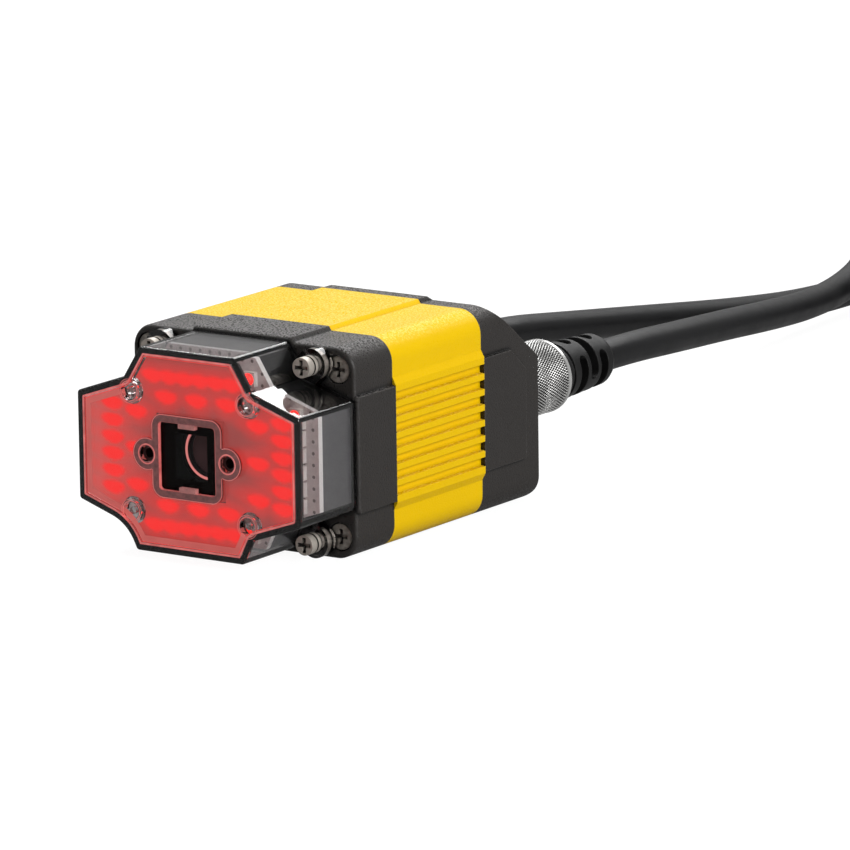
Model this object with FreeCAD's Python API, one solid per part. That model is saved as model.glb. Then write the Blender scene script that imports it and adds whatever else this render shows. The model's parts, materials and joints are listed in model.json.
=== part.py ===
import FreeCAD, Part
import math
import os

# Compact fixed-mount barcode reader, in millimetres.
# X runs across the reader, Y from its front (negative) to its back, Z up.
# The origin is on the flat bottom face, under the middle of the yellow housing.

# Body: bezel, housing and rear cover share one rounded section
body_width = 54.0  # over the raised side bands
side_raise = 0.8  # raised side bands above the plain sides
plain_height = 41.6  # flat bottom to plain top
top_raise = 0.85  # raised top band above the plain top
corner_radius = 4.8
bezel_depth = 12.8
housing_length = 30.6
rear_depth = 20.1
housing_wall = 2.2
bezel_plate = 3.0
rear_wall = 2.5
top_band_width = 23.0
top_band_slope = 0.6
side_band_height = 22.7
side_band_slope = 0.3
edge_round = 0.7

# Cooling ribs along the sides of the housing
rib_count = 8
rib_pitch = 3.1
rib_width = 1.5
rib_height = 1.1
rib_draft = 0.12
rib_ramp = 1.5

# Sloped top and raised side panels of the rear cover
slope_start = 4.2  # behind the housing
slope_end_height = 8.2  # above the lens axis, at the rear face
panel_length = 14.7
panel_top_length = 9.5
panel_corner_drop = 4.6
rear_bottom_round = 2.4

# Screws that hold bezel and rear cover to the housing
case_screw_inset = 3.9  # from the plain side
case_screw_edge = 4.4  # from the bottom and from the plain top
case_screw_thread = 3.0
case_screw_head = 5.2
case_screw_head_height = 2.0
case_screw_recess = 5.7
case_screw_sunk = 0.3
case_screw_reach = 8.0  # thread in the housing
case_boss = 7.4
upper_seat = 3.4  # seat of the two upper rear screws, behind the housing
cross_slot_width = 0.8
cross_slot_length = 3.0
cross_slot_depth = 1.1

# Gaskets lie in grooves
gasket_width = 0.8
gasket_height = 0.8
gasket_edge = 0.7  # from the outside of the joint
groove_play = 0.05

# Mounting holes in the bottom
mount_spacing_x = 36.0
mount_spacing_y = 20.0
mount_hole = 2.5  # core of an M3 thread
mount_hole_depth = 5.0
mount_boss = 7.0
mount_boss_height = 6.5

# Light cover: a clear cross with tapered arms
cover_depth = 18.6
cover_wall = 1.5
cover_front_wall = 1.5
cover_corner_round = 0.8
cover_edge_round = 0.4
side_arm_gap = 0.85  # inside the side bands
side_arm_taper = 3.81  # from a notch to the end of the arm
top_arm_rise = 0.07  # above the plain top
top_arm_taper = 4.04
bottom_arm_gap = 1.41  # above the bottom
bottom_arm_taper = 2.44
notch_round = 9.0  # the lower left notch alone is round
notch_step_x = 2.96  # from the lug's screw to the notch
notch_step_z = 2.93
lug_step_x = 4.3  # from the case screw to the lug's screw
lug_step_z = 1.0
lug_radius = 3.2
lug_depth = 2.6
cup_step_x = 1.3  # from the notch to the cup
cup_step_z = 2.66
cup_bore = 3.6
cup_wall = 0.5
cup_depth = 2.2
cup_post = 1.5
cup_post_short = 0.5

# Window in the middle of the light cover
window_size = 13.4
window_round = 0.8
window_ledge = 0.7
pane_thickness = 0.8
pane_play = 0.1
collar_size = 16.5
collar_round = 2.5
collar_raise = 0.4
tab_width = 3.8  # catches at the top and bottom of the window
tab_drop = 0.9
ear_x = 9.5
ear_radius = 3.2
aimer_diameter = 3.1
aimer_play = 0.1
aimer_sunk = 0.6
aimer_bore = 2.0
aimer_bore_depth = 2.5
aimer_seat = 4.0
hood_wall = 1.1
hood_play = 0.2

# Light behind the cover
diffuser_gap = 0.3
diffuser_thickness = 0.8
board_set_back = 7.9
led_board_thickness = 1.3
light_side_play = 0.4
led_body = 2.8
led_body_height = 1.1
led_lens = 2.4
led_lens_height = 0.8
inner_column_share = 0.346  # of the way from the hood to the end of the arm
outer_column_share = 0.665
inner_row_share = 0.233
outer_row_share = 0.613
outer_column_pitch = 3.32
inner_column_pitch = 7.3
outer_row_pitch = 3.6
inner_row_pitch = 6.9
leds_outer = 6
leds_inner = 3

# Captive screws of the light cover
cover_screw_head = 4.0
cover_screw_head_length = 1.7
cover_screw_groove = 0.5
cover_screw_groove_depth = 0.35
cover_screw_collar_length = 1.2
cover_screw_thread = 2.9
cover_screw_reach = 2.6
screw_play = 0.05

# Lens
lens_set_back = 7.0
barrel_diameter = 12.8
barrel_bore = 8.0
barrel_step = 4.0
ring_diameter = 11.0
ring_bore = 9.2
ring_thickness = 1.2
lens_play = 0.05
back_focus = 5.0
holder_post_gap = 1.0
holder_flange_thickness = 2.0
holder_tube = 17.0
lens_opening = 18.0
sensor_size = 8.0
sensor_height = 1.0

# Circuit boards
board_thickness = 1.6
board_column_gap = 0.6  # to the screw columns
board_boss_gap = 0.3  # above the mounting bosses
board_wall_gap = 1.6  # to the bottom and top walls
post_edge = 3.0  # from the board's edges
post_diameter = 5.0
post_length = 12.0
spacer_flats = 4.5
spacer_length = 9.0
spacer_thread = 2.4
spacer_stud = 4.0
board_screw_head = 4.0
board_screw_head_height = 1.4
board_screw_reach = 3.5
processor_size = 9.0
processor_thickness = 1.6
memory_count = 2
memory_width = 8.0
memory_height = 6.0
memory_thickness = 1.1
chip_gap = 1.5
chip_rise = 2.5  # above the lens axis
stack_width = 16.0
stack_height = 4.0
header_width = 16.0
header_depth = 3.0
header_height = 4.0
stack_drop = 10.0  # below the lens axis
ribbon_width = 13.0
ribbon_thickness = 0.5
interface_wall_gap = 2.0  # to the side walls
interface_board_height = 22.0
interface_board_drop = 1.2  # below the lens axis
interface_post = 5.0
interface_post_length = 4.1
interface_post_x = 4.0
interface_post_z = 8.4

# Panel sockets and cable plugs, one pair each side of the rear face
socket_inset = 10.4  # from the plain side
thread_diameter = 12.0
socket_flange = 14.0
socket_flange_thickness = 1.2
thread_length = 8.7
socket_shank = 10.8
socket_bore = 8.8
shank_inside = 2.5
lock_nut_flats = 13.6
lock_nut_thickness = 2.0
seal_section = 0.8
socket_seal_inner = 11.6
pin_count = 8
pin_circle = 5.5
pin_diameter = 1.0
pin_reach = 5.5
insert_depth = 8.2  # front of the insert, inside the socket's mouth
nose_diameter = 8.2
nose_length = 8.6
pin_hole_play = 0.15
collar_diameter = 11.6
collar_length = 3.6
collar_gap = 1.1  # between socket mouth and plug collar, filled by the seal
neck_diameter = 9.4
tail_diameter = 7.4
tail_length = 4.2
nut_diameter = 15.0
nut_length = 15.6
nut_gap = 0.5
nut_chamfer = 0.6
nut_end_play = 0.2
running_clearance = 0.08
fit_clearance = 0.05
grip_length = 19.3
grip_diameter = 12.0
grip_end_diameter = 10.7
grip_collar_length = 2.4
grip_groove = 0.8
grip_groove_depth = 0.5
grip_end_round = 1.6
grip_slot_width = 2.8
grip_slot_depth = 2.0
grip_slot_angle = 118.0  # between the centres of its round ends
grip_slot_pitch = 3.9
grip_slot_count = 3
grip_slot_start = 6.7
grip_slot_turn = 129.0  # middle of the first slot, from the top
grip_row_turn = 90.0

# Cables and the hanks of the length that is put away
cable_diameter = 6.5
hank_x = 12.0
hank_y = 267.75
hank_straight = 72.0
hank_turn_radius = 26.0  # middle of the turns
hank_columns = 3
hank_rows = 2
tie_width = 10.0
tie_thickness = 1.0
tie_play = 0.3

# Points that each cable passes between plug and hank, then from the hank to its end
plug_exit = 12.0  # straight run behind the plug
power_route = [
    (14.6, 104.0, 19.4), (11.6, 128.0, 17.4), (7.6, 154.0, 14.7), (2.6, 178.0, 12.4),
    (-2.8, 199.0, 11.6), (-8.0, 216.0, 12.4), (-13.4, 231.0, 15.4), (-17.6, 245.0, 18.0),
    (-20.0, 261.0, 18.2), (-20.5, 276.0, 17.4), (-20.5, 289.0, 17.25),
]
network_route = [
    (-15.7, 110.0, 17.4), (-16.0, 142.0, 13.2), (-16.6, 176.0, 8.6), (-18.0, 210.0, 4.8),
    (-20.0, 244.0, 3.8), (-20.5, 275.0, 4.25),
]
power_tail = [
    (44.5, 284.0, 23.75), (44.5, 268.0, 23.4), (43.8, 250.0, 20.4), (40.4, 232.0, 14.0),
    (35.6, 216.0, 7.4), (32.2, 201.0, 4.0), (30.6, 188.0, 3.5),
]
network_tail = [
    (44.5, 284.0, 10.75), (44.6, 268.0, 10.4), (45.0, 251.0, 7.6), (45.2, 235.0, 4.8),
    (44.6, 220.0, 4.8),
]

# What is on the far ends
plug_width = 11.7
plug_height = 8.0
plug_length = 21.5
plug_latch_width = 6.0
plug_latch_thickness = 0.9
plug_latch_rise = 2.6
plug_contact_count = 8
plug_contact_pitch = 1.02
plug_contact_width = 0.5
plug_contact_length = 6.0
plug_contact_depth = 1.2
boot_length = 14.0
boot_diameter = 8.0
lead_count = 6
lead_diameter = 1.4
lead_circle = 4.2
lead_length = 26.0

# Worked out from the sizes above
half_plain = body_width / 2 - side_raise
axis_z = plain_height / 2
y_housing_front = -housing_length / 2
y_housing_rear = housing_length / 2
y_bezel_front = y_housing_front - bezel_depth
y_cover_front = y_bezel_front - cover_depth
y_rear_face = y_housing_rear + rear_depth
y_rear_inner = y_rear_face - rear_wall
y_plate_back = y_bezel_front + bezel_plate
y_led_board = y_cover_front + board_set_back
y_base_front = y_led_board + led_board_thickness
y_sensor_board = y_plate_back + post_length
y_spacer = y_sensor_board + board_thickness
y_processor_board = y_spacer + spacer_length
y_processor_back = y_processor_board + board_thickness
y_interface_back = y_rear_inner - interface_post_length
y_interface_board = y_interface_back - board_thickness
y_thread = y_rear_face + socket_flange_thickness
y_mouth = y_thread + thread_length
y_collar = y_mouth + collar_gap
y_neck = y_collar + collar_length
y_nut = y_thread + nut_gap
y_nut_end = y_nut + nut_length
y_grip = y_nut_end + nut_end_play
y_grip_end = y_grip + grip_length
hank_half = hank_turn_radius + hank_columns * cable_diameter / 2
hank_inner = hank_turn_radius - hank_columns * cable_diameter / 2
hank_height = hank_rows * cable_diameter
case_screw_x = half_plain - case_screw_inset
case_screw_low = case_screw_edge
case_screw_high = plain_height - case_screw_edge
side_arm_reach = body_width / 2 - side_arm_gap
top_arm_reach = plain_height - axis_z + top_arm_rise
bottom_arm_reach = axis_z - bottom_arm_gap
lug_x = case_screw_x - lug_step_x
lug_z = case_screw_high - axis_z + lug_step_z
notch_x = lug_x - notch_step_x
notch_z = lug_z - notch_step_z
side_arm_half = notch_z - side_arm_taper
top_arm_half = notch_x - top_arm_taper
bottom_arm_half = notch_x - bottom_arm_taper
cup_x = notch_x - cup_step_x
cup_z = notch_z - cup_step_z
hood_half = window_size / 2 + hood_wall
inner_column_x = hood_half + inner_column_share * (side_arm_reach - hood_half)
outer_column_x = hood_half + outer_column_share * (side_arm_reach - hood_half)
inner_row_z = hood_half + inner_row_share * (bottom_arm_reach - hood_half)
outer_row_z = hood_half + outer_row_share * (bottom_arm_reach - hood_half)
board_width = 2 * (case_screw_x - case_boss / 2 - board_column_gap)
sensor_board_height = plain_height - 2 * (mount_boss_height + board_boss_gap)
processor_board_height = plain_height - 2 * (housing_wall + board_wall_gap)
interface_board_width = 2 * (half_plain - housing_wall - interface_wall_gap)
post_x = board_width / 2 - post_edge
post_z = sensor_board_height / 2 - post_edge
holder_flange = 2 * (post_x - post_diameter / 2 - holder_post_gap)
socket_x = half_plain - socket_inset
sides = (-1, 1)


def vec(x, y, z):
    return FreeCAD.Vector(x, y, z)


def block(x_from, x_to, y_from, y_to, z_from, z_to):
    return Part.makeBox(x_to - x_from, y_to - y_from, z_to - z_from, vec(x_from, y_from, z_from))


def rod(diameter, y_from, y_to, x=0.0, z=0.0):
    return Part.makeCylinder(diameter / 2, y_to - y_from, vec(x, y_from, z), vec(0, 1, 0))


def prism(outline, y_from, y_to):
    """Outline of (x, z) corners, drawn out along the reader's length."""
    corners = [vec(x, y_from, z) for x, z in outline]
    face = Part.Face(Part.makePolygon(corners + corners[:1]))
    return face.extrude(vec(0, y_to - y_from, 0))


def prism_across(outline, x_from, x_to):
    """Outline of (y, z) corners, drawn out across the reader."""
    corners = [vec(x_from, y, z) for y, z in outline]
    face = Part.Face(Part.makePolygon(corners + corners[:1]))
    return face.extrude(vec(x_to - x_from, 0, 0))


def turned(profile, x=0.0, z=0.0):
    """Profile of (radius, y) corners, turned round an axis along Y."""
    corners = [vec(x + radius, y, z) for radius, y in profile]
    face = Part.Face(Part.makePolygon(corners + corners[:1]))
    return face.revolve(vec(x, 0, z), vec(0, 1, 0), 360)


def hexagon(flats, y_from, y_to, x, z):
    reach = flats / math.sqrt(3)
    corners = []
    for k in range(6):
        angle = math.radians(60 * k)
        corners.append((x + reach * math.cos(angle), z + reach * math.sin(angle)))
    return prism(corners, y_from, y_to)


def square(size, y_from, y_to):
    half = size / 2
    return block(-half, half, y_from, y_to, axis_z - half, axis_z + half)


def joined(first, *others):
    return first.fuse(list(others)).removeSplitter()


def group(solids):
    return Part.makeCompound(solids)


def lengthwise(edge):
    first, last = edge.Vertexes[0].Point, edge.Vertexes[-1].Point
    return abs(first.x - last.x) + abs(first.z - last.z) < 1e-6 and abs(first.y - last.y) > 1e-6


def edges_at(shape, x, z):
    """Lengthwise edges of a shape that pass through one (x, z)."""
    found = []
    for edge in shape.Edges:
        point = edge.Vertexes[0].Point
        if lengthwise(edge) and abs(point.x - x) + abs(point.z - z) < 1e-4:
            found.append(edge)
    return found


def outer_edges(shape, y):
    """Outline edges of the flat face that lies across the reader at one y."""
    faces = []
    for face in shape.Faces:
        box = face.BoundBox
        if box.YLength < 1e-6 and abs(box.YMin - y) < 1e-6:
            faces.append(face)
    largest = max(faces, key=lambda face: face.OuterWire.BoundBox.DiagonalLength)
    return largest.OuterWire.Edges


def edges_across(shape, y, z):
    """Straight edges that lie across the reader at one (y, z)."""
    found = []
    for edge in shape.Edges:
        box = edge.BoundBox
        off = abs(box.YMin - y) + abs(box.YMax - y) + abs(box.ZMin - z) + abs(box.ZMax - z)
        if off < 1e-3:
            found.append(edge)
    return found


def inset(outline, distance):
    """Anticlockwise outline with each side moved inwards by one distance."""
    moved = []
    count = len(outline)
    for k in range(count):
        before, corner, after = outline[k - 1], outline[k], outline[(k + 1) % count]
        normals = []
        for start, end in ((before, corner), (corner, after)):
            dx, dz = end[0] - start[0], end[1] - start[1]
            length = math.hypot(dx, dz)
            normals.append((-dz / length, dx / length))
        (ax, az), (bx, bz) = normals
        share = distance / (1 + ax * bx + az * bz)
        moved.append((corner[0] + share * (ax + bx), corner[1] + share * (az + bz)))
    return moved


def cover_outline():
    """Cross of the light cover, seen from the front, anticlockwise."""
    right = [
        (bottom_arm_half, -bottom_arm_reach), (notch_x, -notch_z),
        (side_arm_reach, -side_arm_half), (side_arm_reach, side_arm_half),
        (notch_x, notch_z), (top_arm_half, top_arm_reach),
    ]
    left = [(-x, z) for x, z in reversed(right)]
    return [(x, axis_z + z) for x, z in right + left]


def cross(inward, y_from, y_to):
    """Solid cross inside the light cover's outline, with its one round notch."""
    outline = inset(cover_outline(), inward)
    solid = prism(outline, y_from, y_to)
    lower_left = outline[10]
    return solid.makeFillet(notch_round + inward, edges_at(solid, *lower_left))


def body_section(inward, y_from, y_to):
    """Rounded section of the body, moved inwards by one distance."""
    solid = block(
        -half_plain + inward, half_plain - inward, y_from, y_to, inward, plain_height - inward
    )
    return solid.makeFillet(corner_radius - inward, [e for e in solid.Edges if lengthwise(e)])


def top_band(y_from, y_to):
    half = top_band_width / 2
    outline = [
        (-half - top_band_slope, plain_height), (half + top_band_slope, plain_height),
        (half, plain_height + top_raise), (-half, plain_height + top_raise),
    ]
    return prism(outline, y_from, y_to)


def side_band(side, half, slope, y_from, y_to):
    outer = side * body_width / 2
    inner = side * half_plain
    outline = [
        (inner, axis_z - half - slope), (outer, axis_z - half),
        (outer, axis_z + half), (inner, axis_z + half + slope),
    ]
    return prism(outline, y_from, y_to)


def case_screw_places():
    return [(s * case_screw_x, z) for s in sides for z in (case_screw_low, case_screw_high)]


def hollow(y_from, y_to):
    """Space inside the body's walls, less the screw columns in its corners."""
    columns = [rod(case_boss, y_from, y_to, x, z) for x, z in case_screw_places()]
    return body_section(housing_wall, y_from, y_to).cut(Part.makeCompound(columns))


def gasket_ring(y_from, y_to, play):
    outer = body_section(gasket_edge - play, y_from, y_to)
    return outer.cut(body_section(gasket_edge + gasket_width + play, y_from, y_to))


def cover_gasket_ring(y_from, y_to, play):
    middle = (cover_wall - gasket_width) / 2
    outer = cross(middle - play, y_from, y_to)
    return outer.cut(cross(middle + gasket_width + play, y_from, y_to))


def corners_of(x, z):
    return [(sx * x, axis_z + sz * z) for sx in sides for sz in sides]


def lug(x, z):
    """Screw ear that grows out of a notch of the light cover."""
    y_from, y_to = y_bezel_front - lug_depth, y_bezel_front
    ear = rod(2 * lug_radius, y_from, y_to, x, z)
    reach = math.hypot(lug_x, lug_z)
    ux, uz = x / reach, (z - axis_z) / reach
    root = cover_wall + math.hypot(lug_x - notch_x, lug_z - notch_z) / 2 + lug_radius
    web = [
        (x - lug_radius * uz, z + lug_radius * ux),
        (x - lug_radius * uz - root * ux, z + lug_radius * ux - root * uz),
        (x + lug_radius * uz - root * ux, z - lug_radius * ux - root * uz),
        (x + lug_radius * uz, z - lug_radius * ux),
    ]
    return joined(ear, prism(web, y_from, y_to))


def light_cover():
    """Clear cover: cross-shaped shell with lugs, cups and the window collar."""
    y_inside = y_cover_front + cover_front_wall
    shell = cross(0, y_cover_front, y_bezel_front)
    outline = cover_outline()
    notches = outline[1::3]
    arm_ends = [corner for corner in outline if corner not in notches]
    ends = [edge for x, z in arm_ends for edge in edges_at(shell, x, z)]
    shell = shell.makeFillet(cover_corner_round, ends)
    shell = shell.makeFillet(cover_edge_round, outer_edges(shell, y_cover_front))
    shell = joined(shell, *[lug(x, z) for x, z in corners_of(lug_x, lug_z)])
    shell = shell.cut(cross(cover_wall, y_inside, y_bezel_front))
    y_collar_front = y_cover_front - collar_raise
    collar = square(collar_size, y_collar_front, y_cover_front)
    collar = collar.makeFillet(collar_round, [e for e in collar.Edges if lengthwise(e)])
    ears = [rod(2 * ear_radius, y_collar_front, y_cover_front, s * ear_x, axis_z) for s in sides]
    cup_outer = cup_bore + 2 * cup_wall
    y_cup_floor = y_cover_front + cup_depth
    places = corners_of(cup_x, cup_z)
    cups = [rod(cup_outer, y_inside, y_cup_floor + cup_wall, x, z) for x, z in places]
    shell = joined(shell, collar, *ears, *cups)
    cuts = [rod(cup_bore, y_cover_front, y_cup_floor, x, z) for x, z in places]
    opening = square(window_size, y_collar_front, y_inside)
    cuts.append(opening.makeFillet(window_round, [e for e in opening.Edges if lengthwise(e)]))
    cuts += [square(window_size + 2 * window_ledge, y_inside - pane_thickness, y_inside)]
    aimer_hole = aimer_diameter + 2 * aimer_play
    cuts += [rod(aimer_hole, y_collar_front, y_inside, s * ear_x, axis_z) for s in sides]
    screw_hole = cover_screw_thread + 2 * screw_play
    for x, z in corners_of(lug_x, lug_z):
        cuts.append(rod(screw_hole, y_bezel_front - lug_depth, y_bezel_front, x, z))
    shell = shell.cut(Part.makeCompound(cuts))
    posts = []
    for x, z in places:
        posts.append(rod(cup_post, y_cover_front + cup_post_short, y_cup_floor, x, z))
    return joined(shell, *posts)


def window_catches():
    """Catches that hold the pane, on the collar above and below the window."""
    half = window_size / 2
    y_from, y_to = y_cover_front - collar_raise, y_cover_front + cover_front_wall - pane_thickness
    ends = [sorted((axis_z + s * half, axis_z + s * (half - tab_drop))) for s in sides]
    return group([block(-tab_width / 2, tab_width / 2, y_from, y_to, low, high) for low, high in ends])


def scan_window():
    y_inside = y_cover_front + cover_front_wall
    size = window_size + 2 * window_ledge - 2 * pane_play
    return square(size, y_inside - pane_thickness, y_inside)


def light_diffuser():
    """Frosted plate behind the front wall, open round the cups, hood and aimers."""
    y_front = y_cover_front + cover_front_wall + diffuser_gap
    y_back = y_front + diffuser_thickness
    plate = cross(cover_wall + light_side_play, y_front, y_back)
    hood = window_size + 2 * (hood_wall + hood_play)
    cup_hole = cup_bore + 2 * (cup_wall + light_side_play)
    cuts = [square(hood, y_front, y_back)]
    cuts += [rod(cup_hole, y_front, y_back, x, z) for x, z in corners_of(cup_x, cup_z)]
    return plate.cut(Part.makeCompound(cuts + aimer_holes(y_front, y_back)))


def aimer_holes(y_from, y_to):
    hole = aimer_diameter + 2 * aimer_play
    return [rod(hole, y_from, y_to, s * ear_x, axis_z) for s in sides]


def led_places():
    """Centres of the LEDs: two rows or columns on each arm of the cross."""
    places = []
    for s in sides:
        for k in range(leds_outer):
            step = k - (leds_outer - 1) / 2
            places.append((s * outer_column_x, axis_z + step * outer_column_pitch))
            places.append((step * outer_row_pitch, axis_z + s * outer_row_z))
        for k in range(leds_inner):
            step = k - (leds_inner - 1) / 2
            places.append((s * inner_column_x, axis_z + step * inner_column_pitch))
            places.append((step * inner_row_pitch, axis_z + s * inner_row_z))
    return places


def leds():
    """Square LED packages with tapered lenses, facing the front."""
    solids = []
    half = led_body / 2
    y_top = y_led_board - led_body_height
    for x, z in led_places():
        package = block(x - half, x + half, y_top, y_led_board, z - half, z + half)
        lens = Part.makeCone(led_lens / 2, led_lens / 4, led_lens_height, vec(x, y_top, z), vec(0, -1, 0))
        solids.append(joined(package, lens))
    return group(solids)


def led_board():
    board = cross(cover_wall + light_side_play, y_led_board, y_base_front)
    hood = square(window_size + 2 * (hood_wall + hood_play), y_led_board, y_base_front)
    return board.cut(Part.makeCompound([hood] + aimer_holes(y_led_board, y_base_front)))


def light_base():
    """Dark block that carries the LED board and closes the cover's back."""
    base = cross(cover_wall + light_side_play, y_base_front, y_bezel_front)
    hood = square(window_size + 2 * (hood_wall + hood_play), y_base_front, y_bezel_front)
    seats = aimer_holes(y_base_front, y_base_front + aimer_seat)
    return base.cut(Part.makeCompound([hood] + seats))


def aimers():
    """Sleeves with a blind bore for the aiming lights, one in each ear."""
    y_front = y_cover_front + aimer_sunk
    y_back = y_base_front + aimer_seat
    sleeves = []
    for s in sides:
        bore = rod(aimer_bore, y_front, y_front + aimer_bore_depth, s * ear_x, axis_z)
        sleeves.append(rod(aimer_diameter, y_front, y_back, s * ear_x, axis_z).cut(bore))
    return group(sleeves)


def window_hood():
    """Square black tunnel from the window pane back to the bezel."""
    y_front = y_cover_front + cover_front_wall
    tube = square(window_size + 2 * hood_wall, y_front, y_bezel_front)
    return tube.cut(square(window_size, y_front, y_bezel_front))


def cross_recess(x, z, y_front):
    half, reach = cross_slot_width / 2, cross_slot_length / 2
    y_to = y_front + cross_slot_depth
    return joined(
        block(x - reach, x + reach, y_front, y_to, z - half, z + half),
        block(x - half, x + half, y_front, y_to, z - reach, z + reach),
    )


def cover_screws():
    """Captive screws: grooved heads on the lugs, threads in the bezel."""
    radius = cover_screw_head / 2
    y_seat = y_bezel_front - lug_depth
    y_groove_end = y_seat - cover_screw_collar_length
    y_groove = y_groove_end - cover_screw_groove
    y_front = y_groove - cover_screw_head_length
    core = radius - cover_screw_groove_depth
    profile = [
        (0, y_front), (radius, y_front), (radius, y_groove), (core, y_groove),
        (core, y_groove_end), (radius, y_groove_end), (radius, y_seat),
        (cover_screw_thread / 2, y_seat),
        (cover_screw_thread / 2, y_bezel_front + cover_screw_reach),
        (0, y_bezel_front + cover_screw_reach),
    ]
    solids = []
    for x, z in corners_of(lug_x, lug_z):
        solids.append(turned(profile, x, z).cut(cross_recess(x, z, y_front)))
    return group(solids)


def case_screw(x, z, y_seat, y_end):
    """Cross-recessed screw; its head is on the side of y_seat away from y_end."""
    out = math.copysign(1, y_seat - y_end)
    y_head = y_seat + out * case_screw_head_height
    profile = [
        (0, y_head), (case_screw_head / 2, y_head), (case_screw_head / 2, y_seat),
        (case_screw_thread / 2, y_seat), (case_screw_thread / 2, y_end), (0, y_end),
    ]
    recess = cross_recess(x, z, y_head if out < 0 else y_head - cross_slot_depth)
    return turned(profile, x, z).cut(recess)


def bezel_seat():
    return y_bezel_front + case_screw_sunk + case_screw_head_height


def bezel_screws():
    y_end = y_housing_front + case_screw_reach
    return group([case_screw(x, z, bezel_seat(), y_end) for x, z in case_screw_places()])


def rear_seats():
    """Screw seats of the rear cover: low ones at its back, high ones under the slope."""
    y_low = y_rear_face - case_screw_sunk - case_screw_head_height
    y_high = y_housing_rear + upper_seat
    return [(x, z, y_low if z == case_screw_low else y_high) for x, z in case_screw_places()]


def rear_screws():
    y_end = y_housing_rear - case_screw_reach
    return group([case_screw(x, z, y_seat, y_end) for x, z, y_seat in rear_seats()])


def front_bezel():
    """Cast front: screw corners, lens opening and the posts of the sensor board."""
    outer = body_section(0, y_bezel_front, y_housing_front)
    outer = joined(outer, top_band(y_bezel_front, y_housing_front))
    half = side_band_height / 2
    for s in sides:
        band = side_band(s, half, side_band_slope, y_bezel_front, y_housing_front)
        outer = joined(outer, band)
    outer = outer.makeFillet(edge_round, outer_edges(outer, y_bezel_front))
    shell = outer.cut(hollow(y_plate_back, y_housing_front))
    for x, z in corners_of(post_x, post_z):
        shell = joined(shell, rod(post_diameter, y_plate_back, y_sensor_board, x, z))
    cuts = [rod(lens_opening, y_bezel_front, y_plate_back, 0, axis_z)]
    hole = case_screw_thread + 2 * screw_play
    for x, z in case_screw_places():
        cuts.append(rod(hole, y_bezel_front, y_housing_front, x, z))
        cuts.append(rod(case_screw_recess, y_bezel_front, bezel_seat(), x, z))
    thread = cover_screw_thread + 2 * screw_play
    for x, z in corners_of(lug_x, lug_z):
        cuts.append(rod(thread, y_bezel_front, y_bezel_front + cover_screw_reach, x, z))
    stud = spacer_thread + 2 * screw_play
    for x, z in corners_of(post_x, post_z):
        cuts.append(rod(stud, y_sensor_board - spacer_stud, y_sensor_board, x, z))
    y_groove = y_housing_front - gasket_height
    cuts.append(gasket_ring(y_groove, y_housing_front, groove_play))
    cuts.append(cover_gasket_ring(y_bezel_front, y_bezel_front + gasket_height, groove_play))
    for cutter in cuts:
        shell = shell.cut(cutter)
    return shell


def body_shell():
    """Yellow housing: a ribbed tube with screw columns and mounting bosses."""
    outer = body_section(0, y_housing_front, y_housing_rear)
    outer = joined(outer, top_band(y_housing_front, y_housing_rear))
    half = ((rib_count - 1) * rib_pitch + rib_width) / 2
    for s in sides:
        band = side_band(s, half, rib_ramp, y_housing_front, y_housing_rear)
        outer = joined(outer, band).cut(rib_grooves(s))
    shell = joined(outer.cut(hollow(y_housing_front, y_housing_rear)), *mount_bosses())
    cuts = []
    thread = case_screw_thread + 2 * screw_play
    for x, z in case_screw_places():
        cuts.append(rod(thread, y_housing_front, y_housing_front + case_screw_reach, x, z))
        cuts.append(rod(thread, y_housing_rear - case_screw_reach, y_housing_rear, x, z))
    for x, y in mount_places():
        cuts.append(Part.makeCylinder(mount_hole / 2, mount_hole_depth, vec(x, y, 0)))
    return shell.cut(Part.makeCompound(cuts))


def rib_grooves(side):
    """Drafted grooves that leave the ribs of one side standing."""
    outer = side * body_width / 2
    floor = side * (body_width / 2 - rib_height)
    half_floor = (rib_pitch - rib_width) / 2
    half_mouth = half_floor + rib_draft
    grooves = []
    for k in range(rib_count - 1):
        z = axis_z + (k - (rib_count - 2) / 2) * rib_pitch
        outline = [
            (floor, z - half_floor), (outer, z - half_mouth),
            (outer, z + half_mouth), (floor, z + half_floor),
        ]
        grooves.append(prism(outline, y_housing_front, y_housing_rear))
    return Part.makeCompound(grooves)


def mount_places():
    half_x, half_y = mount_spacing_x / 2, mount_spacing_y / 2
    return [(sx * half_x, sy * half_y) for sx in sides for sy in sides]


def mount_bosses():
    height = mount_boss_height - housing_wall / 2
    bosses = []
    for x, y in mount_places():
        bosses.append(Part.makeCylinder(mount_boss / 2, height, vec(x, y, housing_wall / 2)))
    return bosses


def rear_profile(inward):
    """Side view of the rear cover, with its sloped top, moved inwards."""
    drop = plain_height - axis_z - slope_end_height
    run = rear_depth - slope_start
    lift = top_raise + 2 * rear_wall
    y_slope = y_housing_rear + slope_start
    corners = [
        (y_housing_rear - lift, 0), (y_rear_face, 0), (y_rear_face, axis_z + slope_end_height),
        (y_slope - lift * run / drop, plain_height + lift), (y_housing_rear - lift, plain_height + lift),
    ]
    return inset(corners, inward)


def side_panel(side):
    """Raised panel on one side of the rear cover, with its upper corner cut off."""
    half = side_band_height / 2
    y_top = y_housing_rear + panel_top_length
    y_back = y_housing_rear + panel_length
    outline = [
        (y_housing_rear, axis_z - half), (y_back, axis_z - half),
        (y_back, axis_z + half - panel_corner_drop), (y_top, axis_z + half),
        (y_housing_rear, axis_z + half),
    ]
    x_in, x_out = sorted((side * half_plain, side * body_width / 2))
    return prism_across(outline, x_in, x_out)


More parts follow.
